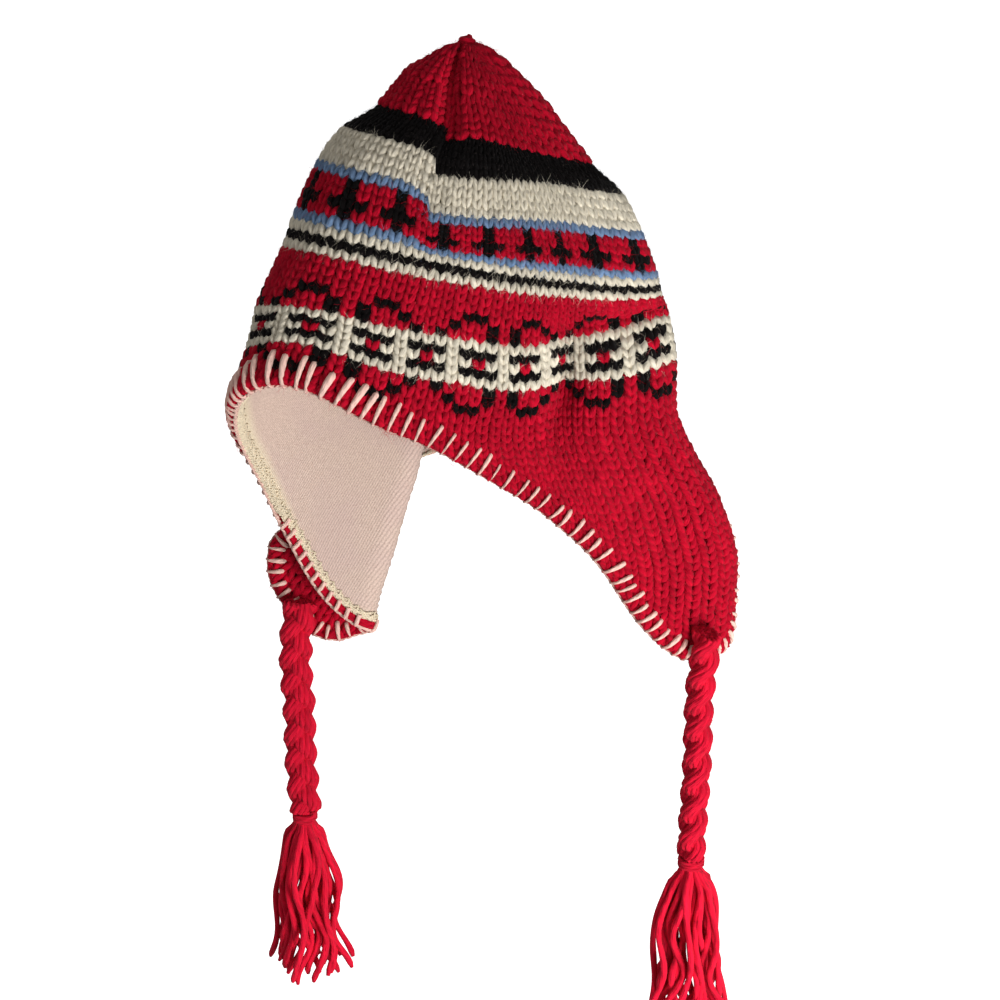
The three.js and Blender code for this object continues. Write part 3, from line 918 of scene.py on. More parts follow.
def new_tree(name: str, inputs: dict[str, str]) -> tuple[bpy.types.NodeTree, NodeBook, dict[str, Joined]]:
    """A geometry tree with named inputs.

    Args:
        name: The tree's name.
        inputs: Socket types by name, after the geometry itself.

    Returns:
        The tree, its book and its inputs as joined sockets.
    """
    tree = bpy.data.node_groups.new(name, "GeometryNodeTree")
    tree.interface.new_socket("Geometry", in_out="INPUT", socket_type="NodeSocketGeometry")
    for label, kind in inputs.items():
        tree.interface.new_socket(label, in_out="INPUT", socket_type=kind)
    tree.interface.new_socket("Geometry", in_out="OUTPUT", socket_type="NodeSocketGeometry")
    book = NodeBook(tree)
    start = book.add("NodeGroupInput").socket.node
    return tree, book, {socket.name: Joined(book, socket) for socket in start.outputs if socket.name}


def yarn_tree() -> bpy.types.NodeTree:
    """A tree that turns chains of edges into closed tubes of yarn.

    Returns:
        The tree, with the inputs Sides and Material.
    """
    tree, book, given = new_tree("yarn_tubes", {"Sides": "NodeSocketInt", "Material": "NodeSocketMaterial"})
    lines = book.add("GeometryNodeMeshToCurve", None, {"Mesh": given["Geometry"]})
    circle = book.add("GeometryNodeCurvePrimitiveCircle", None, {"Resolution": given["Sides"], "Radius": 1.0})
    place = book.add("GeometryNodeInputPosition")
    settings = {"data_type": "FLOAT_VECTOR", "domain": "POINT"}
    spin = {"Geometry": circle, "Name": "spin", "Value": place}
    circle = book.add("GeometryNodeStoreNamedAttribute", settings, spin)
    girth = book.add("GeometryNodeInputNamedAttribute", {"data_type": "FLOAT"}, {"Name": "girth"})
    tubes = book.add("GeometryNodeCurveToMesh", None, {
        "Curve": lines, "Profile Curve": circle, "Scale": girth, "Fill Caps": True,
    })
    smooth = book.add("GeometryNodeSetShadeSmooth", None, {"Geometry": tubes, "Shade Smooth": True})
    book.end_tree(smooth, given["Material"])
    return tree


class WoolDown:
    """Loose fibres that stand on a surface, in its dyes."""

    SHORTEST_SHARE = 0.4
    RISE = 0.35
    THIN = 0.022
    LEAN = 0.4
    TAPER = 1.1
    SWEEP = 0.2
    ARCH = 0.7
    SIZES = ("Density", "Shortest", "Longest", "Rise", "Thin")

    def __init__(self, material: bpy.types.Material) -> None:
        """Keeps the fibres' finish and builds their tree."""
        self.material = material
        self.tree = self._tree()

    def _tree(self) -> bpy.types.NodeTree:
        """A tree that scatters bent fibres over a surface.

        Returns:
            The tree, with the inputs of SIZES, Seed and Material.
        """
        kinds = {**dict.fromkeys(self.SIZES, "NodeSocketFloat"), "Seed": "NodeSocketInt"}
        tree, book, given = new_tree("wool_down", {**kinds, "Material": "NodeSocketMaterial"})
        points = book.add("GeometryNodeDistributePointsOnFaces", None, {
            "Mesh": given["Geometry"], "Density": given["Density"], "Seed": given["Seed"],
        })
        upright = Joined(book, points.socket.node.outputs["Rotation"])
        turn = book.add("FunctionNodeRandomValue", {"data_type": "FLOAT_VECTOR"}, {
            0: (-self.LEAN, -self.LEAN, -math.pi), 1: (self.LEAN, self.LEAN, math.pi), "Seed": given["Seed"],
        })
        leaning = book.add("FunctionNodeRotateRotation", {"rotation_space": "LOCAL"}, {0: upright, 1: turn})
        strip = book.add("GeometryNodeMeshGrid", None, {
            "Size X": given["Thin"], "Size Y": 1.0, "Vertices X": 2, "Vertices Y": 2,
        })
        wide, long, _ = book.parts(book.add("GeometryNodeInputPosition"))
        along = long + 0.5
        bent = book.add("ShaderNodeCombineXYZ", None, {
            0: wide * (self.TAPER - along) + along * along * self.SWEEP,
            1: along,
            2: given["Rise"] * along * (1.0 + self.ARCH - along * self.ARCH),
        })
        fibre = book.add("GeometryNodeSetPosition", None, {"Geometry": strip, "Position": bent})
        length = book.add("FunctionNodeRandomValue", {"data_type": "FLOAT"}, {
            2: given["Shortest"], 3: given["Longest"], "Seed": given["Seed"] + 1.0,
        }, 1)
        hairs = book.add("GeometryNodeInstanceOnPoints", None, {
            "Points": points, "Instance": fibre, "Rotation": leaning, "Scale": length,
        })
        book.end_tree(hairs, given["Material"])
        return tree

    def grow(
        self, name: str, source: bpy.types.Mesh, density: float, longest: float, seed: int,
    ) -> bpy.types.Object:
        """Grows fibres on a mesh, as a piece of their own.

        Args:
            name: The piece's name.
            source: The mesh that carries them, with a tint.
            density: Fibres to a square metre.
            longest: The longest fibre in metres.
            seed: The seed of their places.

        Returns:
            The piece.
        """
        sizes = (density, longest * self.SHORTEST_SHARE, longest, self.RISE, self.THIN)
        inputs = {**dict(zip(self.SIZES, sizes)), "Seed": seed, "Material": self.material}
        return bake_nodes(link(name, source.copy()), self.tree, inputs)


class YarnSpool:
    """Gathers centrelines of yarn, then makes one piece of them."""

    def __init__(self, tree: bpy.types.NodeTree) -> None:
        """Starts with nothing wound.

        Args:
            tree: The yarn tree.
        """
        self.tree = tree
        self.points: list[np.ndarray] = []
        self.girths: list[np.ndarray] = []
        self.tints: list[np.ndarray] = []
        self.counts: list[int] = []

    def wind(self, points: np.ndarray, girth: np.ndarray | float, tint: np.ndarray | tuple) -> None:
        """Adds one yarn or many of the same number of points.

        Args:
            points: Metres, as (points, 3) or (yarns, points, 3).
            girth: The yarn's radius in metres, for all or for each point.
            tint: The dye, for all or for each yarn.
        """
        many = points if points.ndim == 3 else points[None]
        yarns, count, _ = many.shape
        self.points.append(many.reshape(-1, 3))
        self.girths.append(np.broadcast_to(girth, (yarns, count)).ravel())
        dyes = np.broadcast_to(np.asarray(tint, dtype=float).reshape(-1, 1, 3), (yarns, count, 3))
        self.tints.append(dyes.reshape(-1, 3))
        self.counts += [count] * yarns

    def piece(self, name: str, sides: int, material: bpy.types.Material) -> bpy.types.Object:
        """Makes the tubes.

        Args:
            name: The piece's name.
            sides: How many sides a tube has.
            material: Its finish.

        Returns:
            The piece, a plain mesh at the origin.
        """
        points = np.concatenate(self.points)
        counts = np.array(self.counts)
        last = np.cumsum(counts)
        first = last - counts
        joined = np.ones(len(points), dtype=bool)
        joined[last - 1] = False
        starts = np.flatnonzero(joined)
        edges = np.stack([starts, starts + 1], axis=1)
        step = np.linalg.norm(np.diff(points, axis=0, prepend=points[:1]), axis=1)
        step[first] = 0
        run = np.cumsum(step)
        run -= np.repeat(run[first], counts)
        mesh = bpy.data.meshes.new(name)
        mesh.vertices.add(len(points))
        mesh.vertices.foreach_set("co", points.astype(np.float32).ravel())
        mesh.edges.add(len(edges))
        mesh.edges.foreach_set("vertices", edges.astype(np.int32).ravel())
        mesh.update()
        give(mesh, "girth", "FLOAT", np.concatenate(self.girths))
        give(mesh, "along", "FLOAT", run)
        give(mesh, "tint", "FLOAT_COLOR", np.concatenate(self.tints))
        return bake_nodes(link(name, mesh), self.tree, {"Sides": sides, "Material": material})


@dataclass
class CameraAndLight:
    """The photograph's viewpoint, a pale floor and soft studio light."""

    aim: tuple[float, float, float] = (0.0103, 0.0107, -0.2098)
    azimuth: float = 46.0
    elevation: float = 14.0
    distance: float = 0.9
    lens: float = 60.0
    floor_drop: float = 0.09
    floor_reach: float = 2.4
    floor_bend: float = 0.8
    bend_steps: int = 8
    floor_sides: int = 64
    wall_height: float = 4.0
    sky: float = 0.28
    lamps: Table = Table(("name", "turn", "rise", "distance", "power", "wide"), (
        ("key", 34, -20, 0.85, 10.0, 0.4),
        ("fill", -50, 25, 1.3, 1.6, 0.9),
        ("rim", 165, 50, 1.3, 2.5, 0.7),
    ))

    def build(self, paper: bpy.types.Material) -> None:
        """Places the camera, the floor and the lights.

        Args:
            paper: The floor's finish.
        """
        self._camera()
        self._floor(paper)
        self._lights()
        bpy.context.scene.view_settings.view_transform = "Standard"

    def _hang(self, thing: bpy.types.Object, turn: float, rise: float, distance: float) -> None:
        """Puts a camera or a lamp in the scene, on a circle round the aim and turned to it.

        Args:
            thing: The camera or the lamp.
            turn: Degrees round from the forehead's side.
            rise: Degrees up.
            distance: Metres from the aim.
        """
        swing, lift = math.radians(turn), math.radians(rise)
        flat = math.cos(lift) * distance
        offset = Vector((math.sin(swing) * flat, -math.cos(swing) * flat, math.sin(lift) * distance))
        thing.location = Vector(self.aim) + offset
        thing.rotation_euler = (-offset).to_track_quat("-Z", "Y").to_euler()
        bpy.context.scene.collection.objects.link(thing)

    def _camera(self) -> None:
        """Places the camera at the photograph's viewpoint."""
        data = bpy.data.cameras.new("view")
        data.lens = self.lens
        data.sensor_width = 36
        data.clip_start = 0.01
        camera = bpy.data.objects.new("view", data)
        self._hang(camera, self.azimuth, self.elevation, self.distance)
        bpy.context.scene.camera = camera

    def _floor(self, paper: bpy.types.Material) -> None:
        """Lays a round sheet of paper under the hanging tassels, which bends up into a wall all round.

        Args:
            paper: Its finish.
        """
        low = CAD_BOX[0][2] - self.floor_drop
        bend = np.linspace(0, math.pi / 2, self.bend_steps)
        wall = self.floor_reach + self.floor_bend
        reach = np.append(self.floor_reach + self.floor_bend * np.sin(bend), wall)
        height = low + np.append(self.floor_bend * (1 - np.cos(bend)), self.wall_height)
        count = self.floor_sides
        angle = np.arange(count) / count * 2 * math.pi
        rings = [
            np.stack([out * np.cos(angle), out * np.sin(angle), np.full(count, up)], axis=1)
            for out, up in zip(reach, height)
        ]
        faces = [tuple(range(count))]
        for ring in range(len(rings) - 1):
            for i in range(count):
                here, beside = ring * count + i, ring * count + (i + 1) % count
                faces.append((here, here + count, beside + count, beside))
        mesh = bpy.data.meshes.new("floor")
        mesh.from_pydata(np.concatenate(rings), [], faces)
        mesh.materials.append(paper)
        floor = link("floor", mesh)
        floor.visible_diffuse = False
        floor.visible_shadow = False

    def _lights(self) -> None:
        """Hangs three soft lights and a pale sky."""
        world = bpy.data.worlds.new("studio")
        world.use_nodes = True
        world.node_tree.nodes["Background"].inputs["Color"].default_value = (1, 1, 1, 1)
        world.node_tree.nodes["Background"].inputs["Strength"].default_value = self.sky
        bpy.context.scene.world = world
        for name, turn, rise, distance, power, wide in self.lamps.rows:
            data = bpy.data.lights.new(name, "AREA")
            data.energy = power
            data.size = wide
            lamp = bpy.data.objects.new(name, data)
            lamp.visible_camera = False
            self._hang(lamp, self.azimuth + turn, rise, distance)


class WallMesh:
    """A closed cloth wall over the lattice, between two lifts from the knitting's outer face."""

    FLAP_ROW = 44
    FLAP_STEPS = 26

    def __init__(self, surface: KnitSurface, step: float) -> None:
        """Keeps the surface and how many stitches wide a face is."""
        self.surface = surface
        self.edges = np.arange(0, surface.form.stitches, step) - 0.5

    def rows(self, first: int, step: float, short: np.ndarray) -> np.ndarray:
        """Rows of each column from the first down to the rim.

        Args:
            first: The first row.
            step: Rows between the corners above the flaps.
            short: Rows by which each column stops above the rim.

        Returns:
            The rows, one line for each column.
        """
        body = np.arange(first, self.FLAP_ROW + 0.01, step)
        rim = self.surface.rim_row(self.edges) - short
        share = np.arange(1, self.FLAP_STEPS + 1) / self.FLAP_STEPS
        flap = self.FLAP_ROW + (rim[:, None] - self.FLAP_ROW) * share
        return np.concatenate([np.broadcast_to(body, (len(self.edges), len(body))), flap], axis=1)

    def build(
        self, name: str, outer: tuple[float, float], inner: tuple[float, float], step: float,
        short: np.ndarray, place: Callable[..., np.ndarray],
    ) -> tuple[bpy.types.Object, np.ndarray, np.ndarray]:
        """Makes the wall.

        Args:
            name: The piece's name.
            outer: Lift and first row of the outer face.
            inner: Lift and first row of the inner face.
            step: Rows between the corners above the flaps.
            short: Rows by which each column stops above the rim.
            place: The surface's spot or knit.

        Returns:
            The piece, and the stitch and the row of every corner.
        """
        count = len(self.edges)
        points, stitches, rows, faces, tops = [], [], [], [], []
        for lift, first in (outer, inner):
            down = self.rows(int(first), step, short)
            stitch = np.broadcast_to(self.edges[:, None], down.shape)
            offset = sum(len(part) for part in points)
            grid = place(stitch, down, lift)
            points.append(grid.reshape(-1, 3))
            stitches.append(stitch.ravel())
            rows.append(down.ravel())
            points.append(grid[:, 0].mean(axis=0, keepdims=True))
            stitches.append(np.zeros(1))
            rows.append(down[:1, 0])
            tops.append((offset, down.shape[1]))
        for (offset, long), flip in zip(tops, (False, True)):
            apex = offset + count * long
            for i in range(count):
                here, beside = offset + i * long, offset + ((i + 1) % count) * long
                fan = (apex, here, beside)
                faces.append(fan[::-1] if flip else fan)
                for k in range(long - 1):
                    quad = (here + k, here + k + 1, beside + k + 1, beside + k)
                    faces.append(quad[::-1] if flip else quad)
        (outer_start, outer_long), (inner_start, inner_long) = tops
        for i in range(count):
            j = (i + 1) % count
            faces.append((
                outer_start + (i + 1) * outer_long - 1,
                inner_start + (i + 1) * inner_long - 1,
                inner_start + (j + 1) * inner_long - 1,
                outer_start + (j + 1) * outer_long - 1,
            ))
        mesh = bpy.data.meshes.new(name)
        mesh.from_pydata(np.concatenate(points), [], faces)
        mesh.polygons.foreach_set("use_smooth", [True] * len(mesh.polygons))
        mesh.update()
        return link(name, mesh), np.concatenate(stitches), np.concatenate(rows)


def charted(stitch: np.ndarray, row: np.ndarray) -> np.ndarray:
    """The chart's dyes.

    Args:
        stitch: Whole stitches round the hat.
        row: Whole rows down from the peak.

    Returns:
        One linear colour for each.
    """
    lines = [yarns for count, yarns in CHART for _ in range(count)]
    wide = len(CHART[0][1])
    lines.append("r" * wide)
    table = np.array([[CHART_YARNS[letter].value for letter in line] for line in lines])
    return table[np.clip(row, 0, len(lines) - 1).astype(int), np.mod(stitch, wide).astype(int)]


@dataclass
class KnittedBody:
    """The knitted shell: its ground wall and every stitch that shows."""

    surface: KnitSurface
    finishes: Finishes
    ground_lift: float = -2.6
    ground_short: float = 0.15
    crown_end: int = 21
    pattern_end: int = 34
    flap_start: int = 46
    flap_stitch: int = -6
    last_row: int = 77
    leg_sides: int = 5
    leg_path: tuple[tuple[float, ...], ...] = (
        (1.26, 0.07, -1.2, 0.72), (0.92, 0.17, 0.0, 1.0), (0.5, 0.27, 0.25, 1.06), (0.12, 0.34, -0.6, 0.95),
        (-0.2, 0.38, -2.2, 0.66),
    )
    uneven_across: float = 0.025
    uneven_down: float = 0.05
    uneven_lift: float = 0.12
    uneven_girth: float = 0.06
    uneven_dye: float = 0.08
    leg_share: float = 0.265
    thickest_leg: float = 2.0
    leg_dip: float = -0.9
    least_leg: float = 0.35
    crown_steps: tuple[tuple[int, int, int], ...] = ((0, 3, 4), (3, 7, 3), (7, 12, 2))
    knot_turns: float = 3
    knot_radius: float = 3.4
    knot_yarn: float = 1.7
    down_density: float = 700000.0
    down_length: float = 0.006
    down_lift: float = 0.7
    seed: int = 7

    def build(self, tree: bpy.types.NodeTree, down: WoolDown) -> list[bpy.types.Object]:
        """Makes the ground, the stitches of each part of the hat and their down.

        Args:
            tree: The yarn tree.
            down: The maker of loose fibres.

        Returns:
            The pieces, the ground first.
        """
        pieces = [self._ground()]
        cells = self._cells()
        row, left = cells["row"], cells["stitch"] >= self.flap_stitch
        for name, chosen in (
            ("crown_knitting", row < self.crown_end),
            ("pattern_knitting", (row >= self.crown_end) & (row < self.pattern_end)),
            ("border_knitting", (row >= self.pattern_end) & (row < self.flap_start)),
            ("left_flap_knitting", (row >= self.flap_start) & left),
            ("right_flap_knitting", (row >= self.flap_start) & ~left),
        ):
            pieces.append(self._stitches(name, {key: part[chosen] for key, part in cells.items()}, tree))
        pieces.append(self._peak_knot(tree))
        pieces += self._down(cells, down)
        for piece in pieces:
            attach(piece, BODY)
        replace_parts(pieces[0], "knit_shell")
        return pieces

    def _peak_knot(self, tree: bpy.types.NodeTree) -> bpy.types.Object:
        """The drawn-up knot of yarn that closes the peak.

        Args:
            tree: The yarn tree.

        Returns:
            The piece.
        """
        peak = self.surface.knit(np.arange(0, self.surface.form.stitches, 4), 0.5).mean(axis=0)
        share = np.linspace(0, 1, 40)
        angle = share * self.knot_turns * 2 * math.pi
        radius = self.knot_radius * np.sin(math.pi * (0.1 + 0.8 * share))
        spool = YarnSpool(tree)
        points = np.stack([radius * np.cos(angle), radius * np.sin(angle), 2.6 - 6.5 * share], axis=1)
        spool.wind(peak + points * MM, self.knot_yarn * MM, Wool.CRIMSON.value)
        return spool.piece("peak_knot", 7, self.finishes.stitches)

    def _down(self, cells: dict[str, np.ndarray], down: WoolDown) -> list[bpy.types.Object]:
        """Loose fibres over every stitch, on an unseen sheet that lies on the stitches.

        Args:
            cells: The stitches, as _cells gives them.
            down: The maker of loose fibres.

        Returns:
            The pieces.
        """
        pieces = []
        for name, first, last in (
            ("crown_down", 0, self.crown_end),
            ("body_down", self.crown_end, self.flap_start),
            ("flap_down", self.flap_start, self.last_row),
        ):
            chosen = (cells["row"] >= first) & (cells["row"] < last)
            stitch, row, wide = (cells[key][chosen][:, None] for key in ("stitch", "row", "wide"))
            corner_stitch = stitch + wide * np.array([[-0.5, -0.5, 0.5, 0.5]])
            corner_row = row + np.array([[0.2, 1.2, 1.2, 0.2]])
            points = self.surface.knit(corner_stitch, corner_row, self.down_lift).reshape(-1, 3)
            mesh = bpy.data.meshes.new(name)
            mesh.from_pydata(points, [], np.arange(len(points)).reshape(-1, 4).tolist())
            give(mesh, "tint", "FLOAT_COLOR", np.repeat(cells["tint"][chosen], 4, axis=0))
            pieces.append(down.grow(name, mesh, self.down_density, self.down_length, self.seed))
        return pieces

    def _ground(self) -> bpy.types.Object:
        """The wall that the stitches stand on, dyed as the chart says, which its finish darkens as painted
        shade.

        Returns:
            The piece.
        """
        form = self.surface.form
        wall = WallMesh(self.surface, 1.0)
        short = np.full(len(wall.edges), self.ground_short)
        outer, inner = (self.ground_lift, 1), (-form.knit_wall, 7)
        piece, stitch, row = wall.build("knit_ground", outer, inner, 1.0, short, self.surface.knit)
        mesh = piece.data
        corners = [list(polygon.vertices) for polygon in mesh.polygons]
        first = np.array([part[0] for part in corners])
        spans = [stitch[part] for part in corners]
        low = np.array([span.min() if np.ptp(span) < 2 else span.max() for span in spans])
        top = np.array([row[part].min() for part in corners])
        tint = charted(np.round(low + 0.5), np.floor(top + 0.01))
        outside = first < len(wall.edges) * wall.rows(1, 1.0, short).shape[1] + 1
        tint[~outside] = Wool.CRIMSON.value
        give(mesh, "tint", "FLOAT_COLOR", tint, "FACE")
        mesh.materials.append(self.finishes.ground)
        return piece

    def _cells(self) -> dict[str, np.ndarray]:
        """Where each stitch lies.

        Returns:
            By name, each stitch's middle, its top row, how wide it is and its dye.
        """
        form = self.surface.form
        stitch, row, wide = [], [], []
        for first, last, step in self.crown_steps:
            for line in range(first, last):
                middles = np.arange(0, form.stitches, step) + (step - 1) / 2
                stitch.append(middles)
                row.append(np.full(len(middles), line))
                wide.append(np.full(len(middles), step))
        for line in range(self.crown_steps[-1][1], self.last_row):
            middles = np.arange(form.stitches)
            kept = middles[self.surface.rim_row(middles) > line + 0.3]
            stitch.append(kept)
            row.append(np.full(len(kept), line))
            wide.append(np.ones(len(kept)))
        cells = {"stitch": np.concatenate(stitch), "row": np.concatenate(row), "wide": np.concatenate(wide)}
        cells["tint"] = charted(np.floor(cells["stitch"]), cells["row"])
        cells["stitch"] = self.surface.wrap(cells["stitch"])
        return cells

    def _stitches(
        self, name: str, cells: dict[str, np.ndarray], tree: bpy.types.NodeTree,
    ) -> bpy.types.Object:
        """The two legs of each stitch, as plump yarn that dives under its neighbours.

        Args:
            name: The piece's name.
            cells: The stitches, as _cells gives them.
            tree: The yarn tree.

        Returns:
            The piece.
        """
        surface = self.surface
        random = np.random.default_rng(self.seed + len(name))
        spool = YarnSpool(tree)
        down, aside, lifts, plump = np.array(self.leg_path).T
        stitch, row, wide = cells["stitch"], cells["row"], cells["wide"]
        across = surface.knit(stitch + wide / 2, row + 0.5) - surface.knit(stitch - wide / 2, row + 0.5)
        width = np.linalg.norm(across, axis=-1)
        girth = np.minimum(width * self.leg_share, self.thickest_leg * MM)
        size = (girth / (self.thickest_leg * MM))[:, None]
        for side in (-1, 1):
            jitter = random.normal(0, 1, (5, len(stitch), 1))
            reach = surface.rim_row(stitch + side * wide * 0.25) - row
            kept = reach > self.least_leg
            tall = np.clip((reach - 0.05) / down[0], 0.2, 1.0)[:, None]
            at_stitch = stitch[:, None] + wide[:, None] * (side * aside + jitter[0] * self.uneven_across)
            at_row = row[:, None] + tall * down + jitter[1] * self.uneven_down
            lift = lifts * size + self.leg_dip * (1 - size) + jitter[2] * self.uneven_lift
            points = surface.knit(at_stitch, at_row, lift)
            girths = girth[:, None] * plump * (1 + self.uneven_girth * jitter[3])
            tints = np.clip(cells["tint"] * (1 + self.uneven_dye * jitter[4]), 0, 1)
            spool.wind(points[kept], girths[kept], tints[kept])
        return spool.piece(name, self.leg_sides, self.finishes.stitches)


@dataclass
class Lining:
    """The jersey lining inside the hat."""

    surface: KnitSurface
    finishes: Finishes
    short_rows: float = 0.35
    bare_rows: float = 1.1
    fine_step: float = 0.25
    first_row: int = 7
    stitch_length: float = 6.6

    def build(self) -> bpy.types.Object:
        """Makes the lining with its ribs laid out flat, shorter where the flap's front edge shows red.

        Returns:
            The piece.
        """
        form = self.surface.form
        wall = WallMesh(self.surface, self.fine_step)
        short = self.short_rows + self.bare_rows * bare_edge(self.surface.wrap(wall.edges))
        top = -form.knit_wall - form.layer_gap
        outer, inner = (top, self.first_row), (top - form.lining_wall, self.first_row)
        piece, stitch, row = wall.build("lining_jersey", outer, inner, 1.0, short, self.surface.spot)
        mesh = piece.data
        give(mesh, "to_rim", "FLOAT", (self.surface.rim_row(stitch) - row) * form.row_length * MM)
        layer = mesh.uv_layers.new(name="cloth")
        corner = whole_numbers(mesh.loops, "vertex_index")
        start = whole_numbers(mesh.polygons, "loop_start")
        total = whole_numbers(mesh.polygons, "loop_total")
        wide = stitch[corner]
        reference = np.repeat(wide[start], total)
        wide = wide + form.stitches * np.round((reference - wide) / form.stitches)
        flat = np.stack([wide * self.stitch_length * MM, row[corner] * form.row_length * MM], axis=1)
        layer.data.foreach_set("uv", flat.astype(np.float32).ravel())
        mesh.materials.append(self.finishes.jersey)
        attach(piece, BODY)
        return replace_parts(piece, "lining")


def whole_numbers(items: bpy.types.bpy_prop_collection, name: str) -> np.ndarray:
    """One whole number of each loop or face of a mesh.

    Args:
        items: The loops or the faces.
        name: The property wanted.

    Returns:
        The numbers in order.
    """
    values = np.zeros(len(items), dtype=np.int32)
    items.foreach_get(name, values)
    return values


def bare_edge(stitch: np.ndarray) -> np.ndarray:
    """How far the knitting's red shows past the lining, which it does low on the far flap's front edge."""
    return ease(stitch, -38, -36) - ease(stitch, -27, -23)


class RimPath:
    """The rim as a path, with places in the cloth at a distance from it."""

    FINE = 0.02
    PROBE_RUN = 0.0015
    PROBE_STITCH = 0.3
    PROBE_ROW = 1.0
    LEAST = 1e-14

    def __init__(self, surface: KnitSurface) -> None:
        """Measures the rim once round.

        Args:
            surface: The knitting's outer face.
        """
        self.surface = surface
        first = -surface.form.curl_end_stitch
        self.stitch = np.arange(first, first + surface.form.stitches, self.FINE)
        points = surface.spot(self.stitch, surface.rim_row(self.stitch))
        closed = np.concatenate([points, points[:1]])
        step = np.linalg.norm(np.diff(closed, axis=0), axis=1)
        self.run = np.concatenate([[0], np.cumsum(step)])
        self.length = float(self.run[-1])

    def stitch_at(self, run: np.ndarray) -> np.ndarray:
        """The stitch at a distance round the rim."""
        grid = np.append(self.stitch, self.stitch[0] + self.surface.form.stitches)
        return np.interp(np.mod(run, self.length), self.run, grid)

    def evenly(self, step: float) -> np.ndarray:
        """Distances once round the rim and back to its start, about a step in millimetres apart."""
        count = int(self.length / (step * MM))
        return np.arange(count + 1) / count * self.length

    def place(self, run: np.ndarray, depth: np.ndarray | float, lift: np.ndarray | float) -> np.ndarray:
        """Points at a depth from the rim into the cloth and a lift from its face.

        Args:
            run: Metres round the rim.
            depth: Millimetres into the cloth, negative past the rim.
            lift: Millimetres out of the outer face.

        Returns:
            The points in metres.
        """
        run, depth, lift = np.broadcast_arrays(run, depth, lift)
        surface = self.surface
        stitch = self.stitch_at(run)
        row = surface.rim_row(stitch)
        here = surface.spot(stitch, row)
        out = surface.out(stitch, row)
        ahead, behind = self.stitch_at(run + self.PROBE_RUN), self.stitch_at(run - self.PROBE_RUN)
        before, after = (surface.spot(at, surface.rim_row(at)) for at in (behind, ahead))
        tangent = unit(after - before)
        inward = unit(np.cross(out, tangent))
        wide, tall = self.PROBE_STITCH, self.PROBE_ROW
        by_stitch = (surface.spot(stitch + wide, row) - surface.spot(stitch - wide, row)) / (2 * wide)
        by_row = (surface.spot(stitch, row) - surface.spot(stitch, row - tall)) / tall
        inward *= np.where(np.sum(inward * by_row, axis=-1, keepdims=True) > 0, -1, 1)
        a = np.sum(by_stitch * by_stitch, axis=-1)
        b = np.sum(by_stitch * by_row, axis=-1)
        c = np.sum(by_row * by_row, axis=-1)
        p = np.sum(by_stitch * inward, axis=-1)
        q = np.sum(by_row * inward, axis=-1)
        det = np.maximum(a * c - b * b, self.LEAST)
        deep = np.maximum(depth, 0) * MM
        move_stitch = (c * p - b * q) / det * deep
        move_row = (a * q - b * p) / det * deep
        within = surface.spot(stitch + move_stitch, row + move_row, lift)
        past = here + inward * (np.minimum(depth, 0) * MM)[..., None] + out * (lift * MM)[..., None]
        return np.where((depth >= 0)[..., None], within, past)


